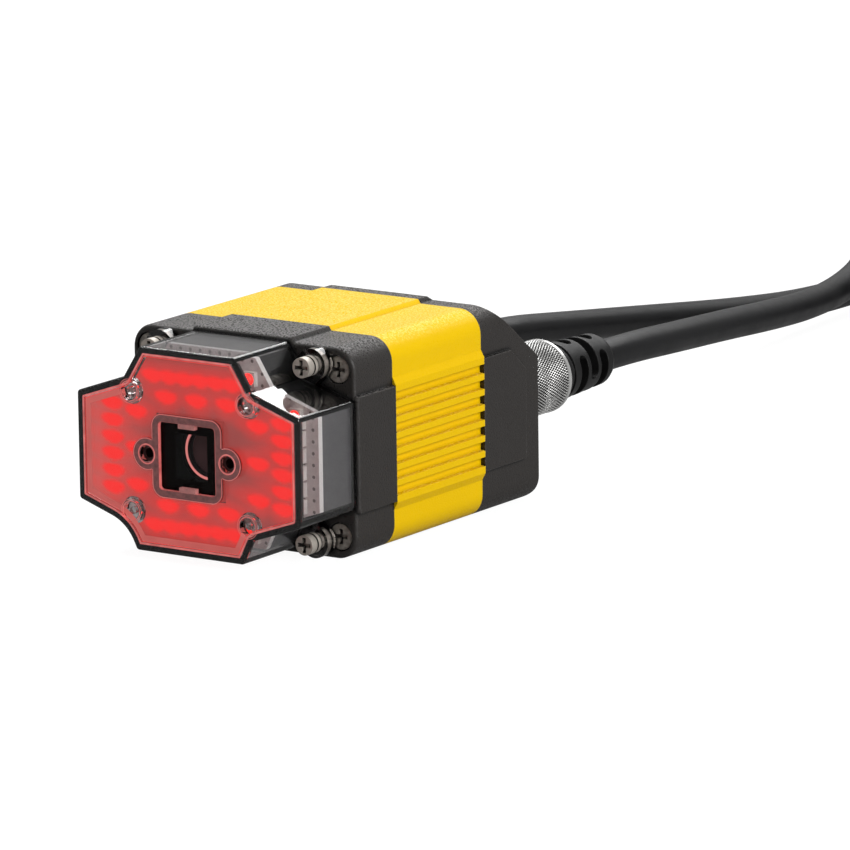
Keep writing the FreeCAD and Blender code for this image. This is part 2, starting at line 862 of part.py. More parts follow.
def rear_cover():
    """Cast back: sloped top, side panels, socket holes and interface board posts."""
    outer = joined(
        body_section(0, y_housing_rear, y_rear_face), top_band(y_housing_rear, y_rear_face)
    )
    side_view = prism_across(rear_profile(0), -body_width, body_width)
    side_view = side_view.makeFillet(rear_bottom_round, edges_across(side_view, y_rear_face, 0))
    z_slope_end = axis_z + slope_end_height
    side_view = side_view.makeFillet(edge_round, edges_across(side_view, y_rear_face, z_slope_end))
    outer = outer.common(side_view)
    cavity = hollow(y_housing_rear, y_rear_inner)
    cavity = cavity.common(prism_across(rear_profile(rear_wall), -body_width, body_width))
    shell = joined(outer.cut(cavity), *[side_panel(s) for s in sides])
    for x, z in interface_posts():
        shell = joined(shell, rod(interface_post, y_interface_back, y_rear_inner, x, z))
    cuts = []
    hole = case_screw_thread + 2 * screw_play
    for x, z, y_seat in rear_seats():
        cuts.append(rod(hole, y_housing_rear, y_seat, x, z))
        cuts.append(rod(case_screw_recess, y_seat, y_rear_face, x, z))
    shank = socket_shank + 2 * fit_clearance
    cuts += [rod(shank, y_rear_inner, y_rear_face, s * socket_x, axis_z) for s in sides]
    thread = spacer_thread + 2 * screw_play
    for x, z in interface_posts():
        cuts.append(rod(thread, y_interface_back, y_interface_back + board_screw_reach, x, z))
    y_groove = y_housing_rear + gasket_height
    cuts.append(gasket_ring(y_housing_rear, y_groove, groove_play))
    cuts.append(socket_seal_rings(groove_play))
    for cutter in cuts:
        shell = shell.cut(cutter)
    return shell


def interface_posts():
    z_middle = axis_z - interface_board_drop
    places = [(sx * interface_post_x, sz * interface_post_z) for sx in sides for sz in sides]
    return [(x, z_middle + z) for x, z in places]


def lens_holder():
    y_tube = y_plate_back + holder_flange_thickness
    body = joined(
        square(holder_flange, y_plate_back, y_tube),
        rod(holder_tube, y_tube, y_sensor_board, 0, axis_z),
    )
    return body.cut(rod(barrel_diameter + 2 * lens_play, y_plate_back, y_sensor_board, 0, axis_z))


def lens_front():
    return y_cover_front + lens_set_back


def lens_barrel():
    """Turned barrel with a stepped bore for the front glass and its ring."""
    y_front, y_back = lens_front(), y_sensor_board - back_focus
    mouth = ring_diameter / 2 + lens_play
    profile = [
        (mouth, y_front), (barrel_diameter / 2, y_front), (barrel_diameter / 2, y_back),
        (barrel_bore / 2, y_back), (barrel_bore / 2, y_front + barrel_step),
        (mouth, y_front + barrel_step),
    ]
    return turned(profile, 0, axis_z)


def lens_ring():
    y_front = lens_front()
    y_back = y_front + ring_thickness
    ring = rod(ring_diameter, y_front, y_back, 0, axis_z)
    return ring.cut(rod(ring_bore, y_front, y_back, 0, axis_z))


def lens_glass():
    """Front lens, domed inside its ring and flat on the barrel's step."""
    y_rim = lens_front() + ring_thickness
    y_back = lens_front() + barrel_step
    radius = ring_bore / 2 - lens_play
    rise = ring_thickness / 2
    sphere = (radius * radius + rise * rise) / (2 * rise)
    dome = Part.makeSphere(sphere, vec(0, y_rim - rise + sphere, axis_z))
    dome = dome.common(rod(2 * radius, y_rim - rise, y_rim, 0, axis_z))
    return joined(rod(ring_diameter, y_rim, y_back, 0, axis_z), dome)


def plate(width, height, y_from, y_to, z_middle):
    return block(-width / 2, width / 2, y_from, y_to, z_middle - height / 2, z_middle + height / 2)


def image_sensor():
    return square(sensor_size, y_sensor_board - sensor_height, y_sensor_board)


def sensor_board():
    board = plate(board_width, sensor_board_height, y_sensor_board, y_spacer, axis_z)
    hole = spacer_thread + 2 * screw_play
    holes = [rod(hole, y_sensor_board, y_spacer, x, z) for x, z in corners_of(post_x, post_z)]
    return board.cut(Part.makeCompound(holes))


def board_spacers():
    """Hexagon spacers: studs through the sensor board, bores for the next screws."""
    solids = []
    bore = spacer_thread + 2 * screw_play
    for x, z in corners_of(post_x, post_z):
        body = hexagon(spacer_flats, y_spacer, y_processor_board, x, z)
        stud = rod(spacer_thread, y_sensor_board - spacer_stud, y_spacer, x, z)
        reach = board_screw_reach
        solids.append(joined(body, stud).cut(rod(bore, y_processor_board - reach, y_processor_board, x, z)))
    return group(solids)


def stack_connector():
    z_middle = axis_z - stack_drop
    return plate(stack_width, stack_height, y_spacer, y_processor_board, z_middle)


def processor_board():
    board = plate(board_width, processor_board_height, y_processor_board, y_processor_back, axis_z)
    hole = spacer_thread + 2 * screw_play
    holes = [rod(hole, y_processor_board, y_processor_back, x, z) for x, z in corners_of(post_x, post_z)]
    return board.cut(Part.makeCompound(holes))


def processor_chips():
    """Processor and two memory chips on the back of the processor board."""
    z_low = axis_z + chip_rise
    x_right = post_x - board_screw_head / 2 - chip_gap
    x_left = x_right - memory_width - chip_gap
    solids = [block(
        x_left - processor_size, x_left, y_processor_back, y_processor_back + processor_thickness,
        z_low, z_low + processor_size,
    )]
    for k in range(memory_count):
        z = z_low + k * (memory_height + chip_gap / 2)
        solids.append(block(
            x_right - memory_width, x_right, y_processor_back, y_processor_back + memory_thickness,
            z, z + memory_height,
        ))
    return group(solids)


def board_screws():
    """Screws of the processor board and of the interface board."""
    solids = []
    for x, z in corners_of(post_x, post_z):
        solids.append(board_screw(x, z, y_processor_back, 1))
    for x, z in interface_posts():
        solids.append(board_screw(x, z, y_interface_board, -1))
    return group(solids)


def board_screw(x, z, y_face, out):
    """Pan screw with its head on y_face; out is the way the head points."""
    y_head = y_face + out * board_screw_head_height
    y_end = y_face - out * (board_thickness + board_screw_reach)
    radius, core = board_screw_head / 2, spacer_thread / 2
    return turned(
        [(0, y_head), (radius, y_head), (radius, y_face), (core, y_face), (core, y_end), (0, y_end)],
        x, z,
    )


def board_headers():
    z_middle = axis_z - interface_board_drop
    y_to = y_processor_back + header_depth
    y_from = y_interface_board - header_depth
    return group([
        plate(header_width, header_height, y_processor_back, y_to, z_middle),
        plate(header_width, header_height, y_from, y_interface_board, z_middle),
    ])


def ribbon_cable():
    y_from, y_to = y_processor_back + header_depth, y_interface_board - header_depth
    return plate(ribbon_width, ribbon_thickness, y_from, y_to, axis_z - interface_board_drop)


def interface_board():
    z_middle = axis_z - interface_board_drop
    board = plate(
        interface_board_width, interface_board_height, y_interface_board, y_interface_back, z_middle
    )
    hole = spacer_thread + 2 * screw_play
    holes = [rod(hole, y_interface_board, y_interface_back, x, z) for x, z in interface_posts()]
    return board.cut(Part.makeCompound(holes))


def socket_seal_rings(play):
    """Seals in the rear face, under the socket flanges."""
    rings = []
    for s in sides:
        outer = socket_seal_inner + 2 * seal_section + 2 * play
        y_from = y_rear_face - seal_section
        ring = rod(outer, y_from, y_rear_face, s * socket_x, axis_z)
        rings.append(ring.cut(rod(socket_seal_inner - 2 * play, y_from, y_rear_face, s * socket_x, axis_z)))
    return Part.makeCompound(rings)


def socket_shell(x):
    """Turned panel socket: shank in the wall, flange on it, thread outside."""
    shank, bore = socket_shank / 2, socket_bore / 2
    y_inside = y_rear_inner - shank_inside
    profile = [
        (bore, y_inside), (shank, y_inside), (shank, y_rear_face),
        (socket_flange / 2, y_rear_face), (socket_flange / 2, y_thread),
        (thread_diameter / 2, y_thread), (thread_diameter / 2, y_mouth), (bore, y_mouth),
    ]
    return turned(profile, x, axis_z)


def pin_places(x):
    places = []
    for k in range(pin_count):
        angle = 2 * math.pi * k / pin_count
        places.append((
            x + pin_circle / 2 * math.cos(angle), axis_z + pin_circle / 2 * math.sin(angle)
        ))
    return places


def socket_insert(x):
    y_inside = y_rear_inner - shank_inside
    y_front = y_mouth - insert_depth
    disc = rod(socket_bore - 2 * fit_clearance, y_inside, y_front, x, axis_z)
    hole = pin_diameter + 2 * fit_clearance
    holes = [rod(hole, y_inside, y_front, px, pz) for px, pz in pin_places(x)]
    return disc.cut(Part.makeCompound(holes))


def socket_pins(x):
    """Contact pins, from the interface board through the insert into the mouth."""
    y_to = y_mouth - insert_depth + pin_reach
    return group([rod(pin_diameter, y_interface_back, y_to, px, pz) for px, pz in pin_places(x)])


def lock_nuts():
    y_from = y_rear_inner - lock_nut_thickness
    hole = socket_shank + 2 * fit_clearance
    nuts = []
    for s in sides:
        nut = hexagon(lock_nut_flats, y_from, y_rear_inner, s * socket_x, axis_z)
        nuts.append(nut.cut(rod(hole, y_from, y_rear_inner, s * socket_x, axis_z)))
    return group(nuts)


def plug_core(x):
    """Plug body: nose in the socket, collar under the nut, neck and tail in the grip."""
    y_nose = y_collar - nose_length
    radius = [nose_diameter / 2, collar_diameter / 2, neck_diameter / 2, tail_diameter / 2]
    profile = [
        (0, y_nose), (radius[0], y_nose), (radius[0], y_collar), (radius[1], y_collar),
        (radius[1], y_neck), (radius[2], y_neck), (radius[2], y_grip), (radius[3], y_grip),
        (radius[3], y_grip + tail_length), (0, y_grip + tail_length),
    ]
    hole = pin_diameter + 2 * pin_hole_play
    y_deep = y_mouth - insert_depth + pin_reach + pin_hole_play
    holes = [rod(hole, y_nose, y_deep, px, pz) for px, pz in pin_places(x)]
    return turned(profile, x, axis_z).cut(Part.makeCompound(holes))


def plug_seals():
    inner = nose_diameter + 2 * fit_clearance
    y_from, y_to = y_mouth + fit_clearance, y_collar - fit_clearance
    rings = []
    for s in sides:
        ring = rod(socket_shank, y_from, y_to, s * socket_x, axis_z)
        rings.append(ring.cut(rod(inner, y_from, y_to, s * socket_x, axis_z)))
    return group(rings)


def coupling_nut(x):
    """Nut that screws on the socket and is held by the plug's collar."""
    outer = nut_diameter / 2
    bore = thread_diameter / 2 + running_clearance
    lip = neck_diameter / 2 + running_clearance
    y_lip = y_neck + nut_end_play
    profile = [
        (bore, y_nut), (outer - nut_chamfer, y_nut), (outer, y_nut + nut_chamfer),
        (outer, y_nut_end - nut_chamfer), (outer - nut_chamfer, y_nut_end),
        (lip, y_nut_end), (lip, y_lip), (bore, y_lip),
    ]
    return turned(profile, x, axis_z)


def plug_grip(x):
    """Moulded grip with a front collar, staggered relief slots and a round end."""
    outer, end = grip_diameter / 2, grip_end_diameter / 2
    y_collar_end = y_grip + grip_collar_length
    y_groove_end = y_collar_end + grip_groove
    core = outer - grip_groove_depth
    profile = [
        (0, y_grip), (outer, y_grip), (outer, y_collar_end), (core, y_collar_end),
        (core, y_groove_end), (outer, y_groove_end), (end, y_grip_end - grip_end_round),
        (end - 0.3 * grip_end_round, y_grip_end - 0.3 * grip_end_round),
        (end - grip_end_round, y_grip_end), (0, y_grip_end),
    ]
    grip = turned(profile, x, axis_z)
    tail = tail_diameter + 2 * fit_clearance
    cuts = [rod(tail, y_grip, y_grip + tail_length + fit_clearance, x, axis_z)]
    for k in range(grip_slot_count):
        for half_turn in (0, 180):
            turn = grip_slot_turn + k * grip_row_turn + half_turn
            cuts.append(grip_slot(x, y_grip + grip_slot_start + k * grip_slot_pitch, turn))
    for cutter in cuts:
        grip = grip.cut(cutter)
    return grip


def grip_slot(x, y_middle, turn):
    """Part of a ring with round ends, cut into the grip round an angle counted from the top."""
    axis = vec(0, 1, 0)
    inner = grip_end_diameter / 2 - grip_slot_depth
    y_from = y_middle - grip_slot_width / 2
    start = vec(x, y_from, axis_z)
    sector = Part.makeCylinder(grip_diameter, grip_slot_width, start, axis, grip_slot_angle)
    sector = sector.cut(rod(2 * inner, y_from, y_from + grip_slot_width, x, axis_z))
    middle = sector.Solids[0].CenterOfMass.sub(start)
    sector.rotate(start, axis, turn - math.degrees(math.atan2(middle.x, middle.z)))
    ends = []
    for s in sides:
        angle = math.radians(turn + s * grip_slot_angle / 2)
        outwards = vec(math.sin(angle), 0, math.cos(angle))
        foot = vec(x, y_middle, axis_z).add(outwards * inner)
        ends.append(Part.makeCylinder(grip_slot_width / 2, grip_diameter, foot, outwards))
    return joined(sector, *ends)


def tube(name, points):
    """Cable along straight runs joined by the largest arcs that they leave room for."""
    corners = [vec(*p) for p in points]
    edges, start, radii = [], corners[0], []
    for before, corner, after in zip(corners, corners[1:], corners[2:]):
        into, out = corner.sub(before), after.sub(corner)
        turn = into.getAngle(out)
        shorter = min(into.Length, out.Length)
        back = 0.45 * shorter
        radii.append(back / math.tan(turn / 2))
        arc_start = corner.sub(into.normalize() * back)
        arc_end = corner.add(out.normalize() * back)
        bisector = arc_start.add(arc_end).multiply(0.5).sub(corner)
        sagitta = radii[-1] / math.cos(turn / 2) - radii[-1]
        arc_middle = corner.add(bisector.normalize() * sagitta)
        edges.append(Part.LineSegment(start, arc_start).toShape())
        edges.append(Part.Arc(arc_start, arc_middle, arc_end).toShape())
        start = arc_end
    edges.append(Part.LineSegment(start, corners[-1]).toShape())
    path = Part.Wire(edges)
    first = corners[1].sub(corners[0])
    ring = Part.Wire(Part.makeCircle(cable_diameter / 2, corners[0], first))
    solid = path.makePipeShell([ring], True, False)
    section = math.pi * cable_diameter ** 2 / 4
    print(name, "radii", [round(r) for r in radii], "length", round(path.Length, 1),
          "volume over section times length", round(solid.Volume / (section * path.Length), 4))
    return solid


def plug_run(x):
    """Straight start of a cable, square to the end of its plug."""
    return [(x, y_grip_end, axis_z), (x, y_grip_end + plug_exit, axis_z)]


def racetrack(half, z_from, z_to):
    """Long plate with round ends on the hank's place."""
    y_far = hank_y + hank_straight
    ends = [Part.makeCylinder(half, z_to - z_from, vec(hank_x, y, z_from)) for y in (hank_y, y_far)]
    return joined(block(hank_x - half, hank_x + half, hank_y, y_far, z_from, z_to), *ends)


def hank(level):
    z_from = tie_thickness + level * hank_height
    z_to = z_from + hank_height
    return racetrack(hank_half, z_from, z_to).cut(racetrack(hank_inner, z_from, z_to))


def hank_ties():
    """Straps round both hanks, one on each long side."""
    y_from = hank_y + (hank_straight - tie_width) / 2
    y_to = y_from + tie_width
    z_top = tie_thickness + 2 * hank_height
    straps = []
    for s in sides:
        near, far = sorted((hank_x + s * hank_inner, hank_x + s * hank_half))
        out = tie_play + tie_thickness
        strap = block(near - out, far + out, y_from, y_to, 0, z_top + tie_thickness)
        hole = block(near - tie_play, far + tie_play, y_from, y_to, tie_thickness, z_top)
        straps.append(strap.cut(hole))
    return group(straps)


def at_end(shape, points):
    """Moves a shape drawn along Y at the origin to the last point of a route."""
    end, before = vec(*points[-1]), vec(*points[-2])
    turn = FreeCAD.Rotation(vec(1, 0, 0), end.sub(before), vec(0, 0, 1), "YZX")
    shape.Placement = FreeCAD.Placement(end, turn)
    return shape


def network_boot():
    """Tapered boot between the cable and the modular plug."""
    small, large = cable_diameter / 2 + fit_clearance, boot_diameter / 2
    profile = [(0, 0), (small, 0), (large, boot_length * 0.7), (large, boot_length), (0, boot_length)]
    return at_end(turned(profile), network_tail)


def network_plug():
    """Modular plug with contact slots on top and a sprung latch below."""
    y_from, y_to = boot_length, boot_length + plug_length
    half_w, half_h = plug_width / 2, plug_height / 2
    body = block(-half_w, half_w, y_from, y_to, -half_h, half_h)
    slots = []
    for k in range(plug_contact_count):
        x = (k - (plug_contact_count - 1) / 2) * plug_contact_pitch
        slots.append(block(
            x - plug_contact_width / 2, x + plug_contact_width / 2, y_to - plug_contact_length, y_to,
            -half_h, -half_h + plug_contact_depth,
        ))
    body = body.cut(Part.makeCompound(slots))
    half_latch = plug_latch_width / 2
    latch = prism_across(
        [
            (y_to - plug_latch_thickness, half_h), (y_to, half_h),
            (y_from, half_h + plug_latch_rise), (y_from, half_h + plug_latch_rise - plug_latch_thickness),
        ],
        -half_latch, half_latch,
    )
    return at_end(joined(body, latch), network_tail)


def power_leads():
    """Stripped wires that stand out of the power cable's end."""
    wires = []
    for k in range(lead_count):
        angle = 2 * math.pi * k / lead_count
        x, z = lead_circle / 2 * math.cos(angle), lead_circle / 2 * math.sin(angle)
        wires.append(rod(lead_diameter, 0, lead_length, x, z))
    return at_end(group(wires), power_tail)


def nodes():
    """Every piece of the reader by its name."""
    pieces = {
        "light_cover": light_cover(),
        "scan_window": scan_window(),
        "window_catches": window_catches(),
        "light_diffuser": light_diffuser(),
        "leds": leds(),
        "led_board": led_board(),
        "light_base": light_base(),
        "aimers": aimers(),
        "window_hood": window_hood(),
        "cover_screws": cover_screws(),
        "cover_gasket": cover_gasket_ring(y_bezel_front, y_bezel_front + gasket_height, 0),
        "front_bezel": front_bezel(),
        "bezel_screws": bezel_screws(),
        "front_gasket": gasket_ring(y_housing_front - gasket_height, y_housing_front, 0),
        "body_shell": body_shell(),
        "rear_gasket": gasket_ring(y_housing_rear, y_housing_rear + gasket_height, 0),
        "rear_cover": rear_cover(),
        "rear_screws": rear_screws(),
        "lens_holder": lens_holder(),
        "lens_barrel": lens_barrel(),
        "lens_ring": lens_ring(),
        "lens_glass": lens_glass(),
        "image_sensor": image_sensor(),
        "sensor_board": sensor_board(),
        "board_spacers": board_spacers(),
        "stack_connector": stack_connector(),
        "processor_board": processor_board(),
        "processor_chips": processor_chips(),
        "board_screws": board_screws(),
        "board_headers": board_headers(),
        "ribbon_cable": ribbon_cable(),
        "interface_board": interface_board(),
        "socket_seals": socket_seal_rings(0),
        "socket_lock_nuts": lock_nuts(),
        "plug_seals": plug_seals(),
        "hank_ties": hank_ties(),
        "network_boot": network_boot(),
        "network_plug": network_plug(),
        "power_leads": power_leads(),
    }
    lines = (("power", 1, power_route, power_tail, 1), ("network", -1, network_route, network_tail, 0))
    for name, side, route, tail, level in lines:
        x = side * socket_x
        pieces[name + "_socket"] = socket_shell(x)
        pieces[name + "_insert"] = socket_insert(x)
        pieces[name + "_pins"] = socket_pins(x)
        pieces[name + "_plug_core"] = plug_core(x)
        pieces[name + "_nut"] = coupling_nut(x)
        pieces[name + "_grip"] = plug_grip(x)
        pieces[name + "_cable"] = tube(name + " cable", plug_run(x) + route)
        pieces[name + "_cable_end"] = tube(name + " cable end", tail)
        pieces[name + "_hank"] = hank(level)
    return pieces


def main():
    os.makedirs("parts", exist_ok=True)
    for name, shape in nodes().items():
        shape.exportStep("parts/" + name + ".step")
        closed = all(solid.isValid() and solid.isClosed() for solid in shape.Solids)
        print(name, len(shape.Solids), "solids", round(shape.Volume, 1), "mm3", "ok" if closed else "BROKEN")


main()
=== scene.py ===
"""Looks of a compact fixed-mount barcode reader with two screw-on cables.

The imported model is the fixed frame. Its nodes get finishes, and what needs finer form than the solids carry
is modelled here: the cables, the glowing diffuser, the lit edges of the clear cover, the shanks of its
screws, the knurled nuts and the blades of the network plug.
Lengths in the classes are in millimetres unless a comment says otherwise; Blender's are in metres.
"""

from __future__ import annotations

import json
import logging
import math
from dataclasses import dataclass, field
from enum import Enum

import bmesh
import bpy
from mathutils import Matrix, Vector
from mathutils.geometry import intersect_point_line

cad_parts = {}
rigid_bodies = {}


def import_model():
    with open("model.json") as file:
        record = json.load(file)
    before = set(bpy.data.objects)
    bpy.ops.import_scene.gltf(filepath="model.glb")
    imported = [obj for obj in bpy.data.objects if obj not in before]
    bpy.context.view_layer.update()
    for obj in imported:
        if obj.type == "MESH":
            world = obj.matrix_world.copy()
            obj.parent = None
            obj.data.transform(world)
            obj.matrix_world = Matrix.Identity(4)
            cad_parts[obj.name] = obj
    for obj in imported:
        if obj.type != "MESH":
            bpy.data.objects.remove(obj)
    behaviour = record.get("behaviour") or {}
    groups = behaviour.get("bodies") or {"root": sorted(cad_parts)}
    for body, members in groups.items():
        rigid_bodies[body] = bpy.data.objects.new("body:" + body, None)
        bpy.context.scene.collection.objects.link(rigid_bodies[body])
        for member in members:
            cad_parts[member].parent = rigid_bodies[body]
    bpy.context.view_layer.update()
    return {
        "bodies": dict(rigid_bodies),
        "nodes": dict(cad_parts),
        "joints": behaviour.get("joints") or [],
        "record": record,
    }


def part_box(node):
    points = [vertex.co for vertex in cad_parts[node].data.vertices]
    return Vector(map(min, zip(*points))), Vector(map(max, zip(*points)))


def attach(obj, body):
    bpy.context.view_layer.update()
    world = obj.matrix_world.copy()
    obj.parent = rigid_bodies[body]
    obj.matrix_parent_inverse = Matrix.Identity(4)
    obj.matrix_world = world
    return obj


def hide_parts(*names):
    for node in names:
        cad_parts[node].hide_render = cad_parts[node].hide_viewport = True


Form = bmesh.types.BMesh
Tree = bpy.types.NodeTree
Socket = bpy.types.NodeSocket
Span = tuple[float, float]
Point = tuple[float, float, float]
Colour = tuple[float, float, float, float]
Layer = tuple[Socket, Colour]
Links = dict[str, Socket]

LOG = logging.getLogger("barcode_reader")
MM = 0.001
READER = "reader"
LINES = ("power", "network")
# Height of the lens axis and of both plugs
AXIS_HEIGHT = 20.8
# Ends of the cables' jackets, where the stripped leads and the boot of the modular plug start
POWER_END: Point = (30.6, 188.0, 3.5)
NETWORK_END: Point = (44.6, 220.0, 4.8)
# Corners of a node's loose triangles that lie this close are one corner, in metres
MERGE_DISTANCE = 1e-6

# Sockets of the Mix node when it mixes colours
MIX_FACTOR, MIX_FIRST, MIX_SECOND, MIX_RESULT = 0, 6, 7, 2
# Rays that the Bevel and the Ambient Occlusion node send out
BEVEL_RAYS, CORNER_RAYS = 6, 8
# The shader's own level of specular light
MIDDLE_SPECULAR = 0.5
NO_LIGHT: Colour = (0.0, 0.0, 0.0, 1.0)
# Parts of a place that lie across the reader
ACROSS: Point = (1.0, 0.0, 1.0)
# Noise values between which the mottle and the grain move the roughness
MOTTLE_SPAN: Span = (0.3, 0.7)
GRAIN_SPAN: Span = (0.35, 0.65)
# Noise values between which a grain gets a painted glint, and between which it turns shiny
PAINTED_GLINT_SPAN: Span = (0.52, 0.62)
SHINE_SPAN: Span = (0.4, 0.6)
# Upward parts of a normal between which a face becomes a top, for its painted shade and for its painted
# glints
TOP_RISE: Span = (0.1, 0.5)
GLINT_RISE: Span = (0.55, 0.9)
# Open shares of the surroundings between which a corner with painted shade becomes an open face
CORNER_SPAN: Span = (0.72, 0.97)
# Cosines of the bend at an edge between which its paleness from wear and painted highlight grows, and the
# most of it that shows
WEAR_HIGHLIGHT_SPAN: Span = (0.99, 0.86)
WEAR_HIGHLIGHT_MOST = 0.25


def linear(code: str) -> Colour:
    """Turns an sRGB hex colour into linear RGBA.

    Args:
        code: Colour such as "#F2C80F".

    Returns:
        Linear red, green, blue and an alpha of 1.
    """
    parts = [int(code[k:k + 2], 16) / 255 for k in (1, 3, 5)]
    values = [p / 12.92 if p <= 0.04045 else ((p + 0.055) / 1.055) ** 2.4 for p in parts]
    return (values[0], values[1], values[2], 1.0)


def add_node(tree: Tree, kind: str, inputs: dict | None = None, **settings: object) -> bpy.types.Node:
    """Adds one shader node with its settings, values and links.

    Args:
        tree: Node tree that gets the node.
        kind: Blender's name of the node type.
        inputs: Input name or index to a value, or to an output socket that is linked to it.
        **settings: Properties of the node.

    Returns:
        The new node.
    """
    node = tree.nodes.new(kind)
    for key, value in settings.items():
        setattr(node, key, value)
    for key, value in (inputs or {}).items():
        if isinstance(value, Socket):
            tree.links.new(value, node.inputs[key])
        else:
            node.inputs[key].default_value = value
    return node


@dataclass(frozen=True)
class Finish:
    """An opaque surface: a faintly mottled colour, fine grain and softly rounded edges.

    Attributes:
        name: Common name of the material.
        colour: Its colour; all colours here are sRGB hex values.
        mottle_colour: Second colour of the mottle.
        mottle: Size of the mottle.
        roughness: Middle value of the roughness.
        roughness_spread: How far the mottle moves the roughness.
        metallic: Share of bare metal.
        ior: Index of refraction.
        grain: Size of the grain.
        grain_height: Height of the grain.
        edge: Radius of the rounded edges.
        worn_highlight_colour: Colour of edges that look paler from wear and from a painted highlight.
        emission: Brightness of the light that the surface gives or passes on.
        sparkle: How far the grain moves the roughness, in place of the mottle.
        glint: How far the grain moves the specular light of top faces.
        painted_glint_colour: Colour of the painted glints, the brightest grains on top faces.
        painted_top_shade: Colour of top faces, a painted shade.
        cavity: Width of the corners that get painted shade.
        cavity_shade: Share of the colour that is left in these corners.
    """

    name: str
    colour: str
    mottle_colour: str = ""
    mottle: float = 6.0
    roughness: float = 0.5
    roughness_spread: float = 0.06
    metallic: float = 0.0
    ior: float = 1.5
    grain: float = 0.5
    grain_height: float = 0.0
    edge: float = 0.0
    worn_highlight_colour: str = ""
    emission: float = 0.0
    sparkle: float = 0.0
    glint: float = 0.0
    painted_glint_colour: str = ""
    painted_top_shade: str = ""
    cavity: float = 0.0
    cavity_shade: float = 0.4

    def build(self) -> bpy.types.Material:
        """Makes the material.

        Returns:
            A node material that reads Object coordinates.
        """
        material = bpy.data.materials.new(self.name)
        material.use_nodes = True
        tree = material.node_tree
        tree.nodes.clear()
        coords = add_node(tree, "ShaderNodeTexCoord").outputs["Object"]
        shader = add_node(tree, "ShaderNodeBsdfPrincipled", self.constants())
        for socket, value in self.patterns(tree, coords).items():
            tree.links.new(value, shader.inputs[socket])
        add_node(tree, "ShaderNodeOutputMaterial", {"Surface": shader.outputs["BSDF"]})
        return material

    def constants(self) -> dict[str, float | Colour]:
        """Gives what is the same all over the surface.

        Returns:
            Shader socket to its value.
        """
        return {
            "Base Color": linear(self.colour), "Roughness": self.roughness, "Metallic": self.metallic,
            "IOR": self.ior, "Emission Color": linear(self.colour), "Emission Strength": self.emission,
        }

    def patterns(self, tree: Tree, coords: Socket) -> Links:
        """Adds the nodes of what varies over the surface.

        Args:
            tree: Node tree of the material.
            coords: Object coordinates, in metres.

        Returns:
            Shader socket to the output that drives it.
        """
        cloud, grain = (
            add_node(tree, "ShaderNodeTexNoise", {"Vector": coords, "Scale": 1 / (size * MM)}).outputs[0]
            for size in (self.mottle, self.grain)
        )
        links: Links = {}
        layers: list[Layer] = []
        if self.edge:
            bevel = add_node(tree, "ShaderNodeBevel", {"Radius": self.edge * MM}, samples=BEVEL_RAYS)
            links["Normal"] = bevel.outputs[0]
        if self.mottle_colour:
            layers.append((cloud, linear(self.mottle_colour)))
        # Paler edges: partly wear, partly a painted highlight along them.
        if self.worn_highlight_colour:
            layers.append((self.edge_mask(tree, links["Normal"], cloud), linear(self.worn_highlight_colour)))
        # Painted shade: top faces get a darker colour.
        if self.painted_top_shade:
            layers.append((self.upward(tree, TOP_RISE), linear(self.painted_top_shade)))
        # Painted glints: the brightest grains on top faces get a paler colour.
        if self.glint:
            painted_glints, links["Specular IOR Level"] = self.glints(tree, grain)
            layers.append((painted_glints, linear(self.painted_glint_colour)))
        if layers:
            links["Base Color"] = self.layered(tree, linear(self.colour), layers)
        # Painted shade: narrow corners get a darker colour.
        if self.cavity:
            links["Base Color"] = self.shaded(tree, links["Base Color"])
        if self.emission:
            links["Emission Color"] = links["Base Color"]
        noise, span, spread = cloud, MOTTLE_SPAN, self.roughness_spread
        if self.sparkle:
            noise, span, spread = grain, GRAIN_SPAN, self.sparkle
        if spread:
            links["Roughness"] = add_node(tree, "ShaderNodeMapRange", {
                "Value": noise, "From Min": span[0], "From Max": span[1],
                "To Min": self.roughness - spread, "To Max": self.roughness + spread,
            }).outputs[0]
        if self.grain_height:
            bump = {"Height": grain, "Distance": self.grain_height * MM}
            if self.edge:
                bump["Normal"] = links["Normal"]
            links["Normal"] = add_node(tree, "ShaderNodeBump", bump).outputs[0]
        return links

    @staticmethod
    def layered(tree: Tree, base: Colour | Socket, layers: list[Layer]) -> Socket:
        """Lays colours over one another.

        Args:
            tree: Node tree of the material.
            base: The lowest colour, or the output that gives it.
            layers: Mask and colour of each layer, the lowest first; a mask of 1 covers what is below.

        Returns:
            The colour that shows.
        """
        for mask, colour in layers:
            base = add_node(tree, "ShaderNodeMix", {
                MIX_FACTOR: mask, MIX_FIRST: base, MIX_SECOND: colour,
            }, data_type="RGBA").outputs[MIX_RESULT]
        return base

    def glints(self, tree: Tree, grain: Socket) -> tuple[Socket, Socket]:
        """Paints glints: makes single grains bright on the faces that look up.

        Args:
            tree: Node tree of the material.
            grain: Noise of the grain.

        Returns:
            Mask of the painted glints, and the level of specular light.
        """
        on_top = self.upward(tree, GLINT_RISE)
        glint_grain = add_node(tree, "ShaderNodeMapRange", {
            "Value": grain, "From Min": PAINTED_GLINT_SPAN[0], "From Max": PAINTED_GLINT_SPAN[1],
        }).outputs[0]
        shine = add_node(tree, "ShaderNodeMapRange", {
            "Value": grain, "From Min": SHINE_SPAN[0], "From Max": SHINE_SPAN[1],
            "To Min": -self.glint, "To Max": self.glint,
        }).outputs[0]
        painted_glints = add_node(tree, "ShaderNodeMath", {0: on_top, 1: glint_grain}, operation="MULTIPLY").outputs[0]
        level = add_node(
            tree, "ShaderNodeMath", {0: on_top, 1: shine, 2: MIDDLE_SPECULAR}, operation="MULTIPLY_ADD"
        ).outputs[0]
        return painted_glints, level

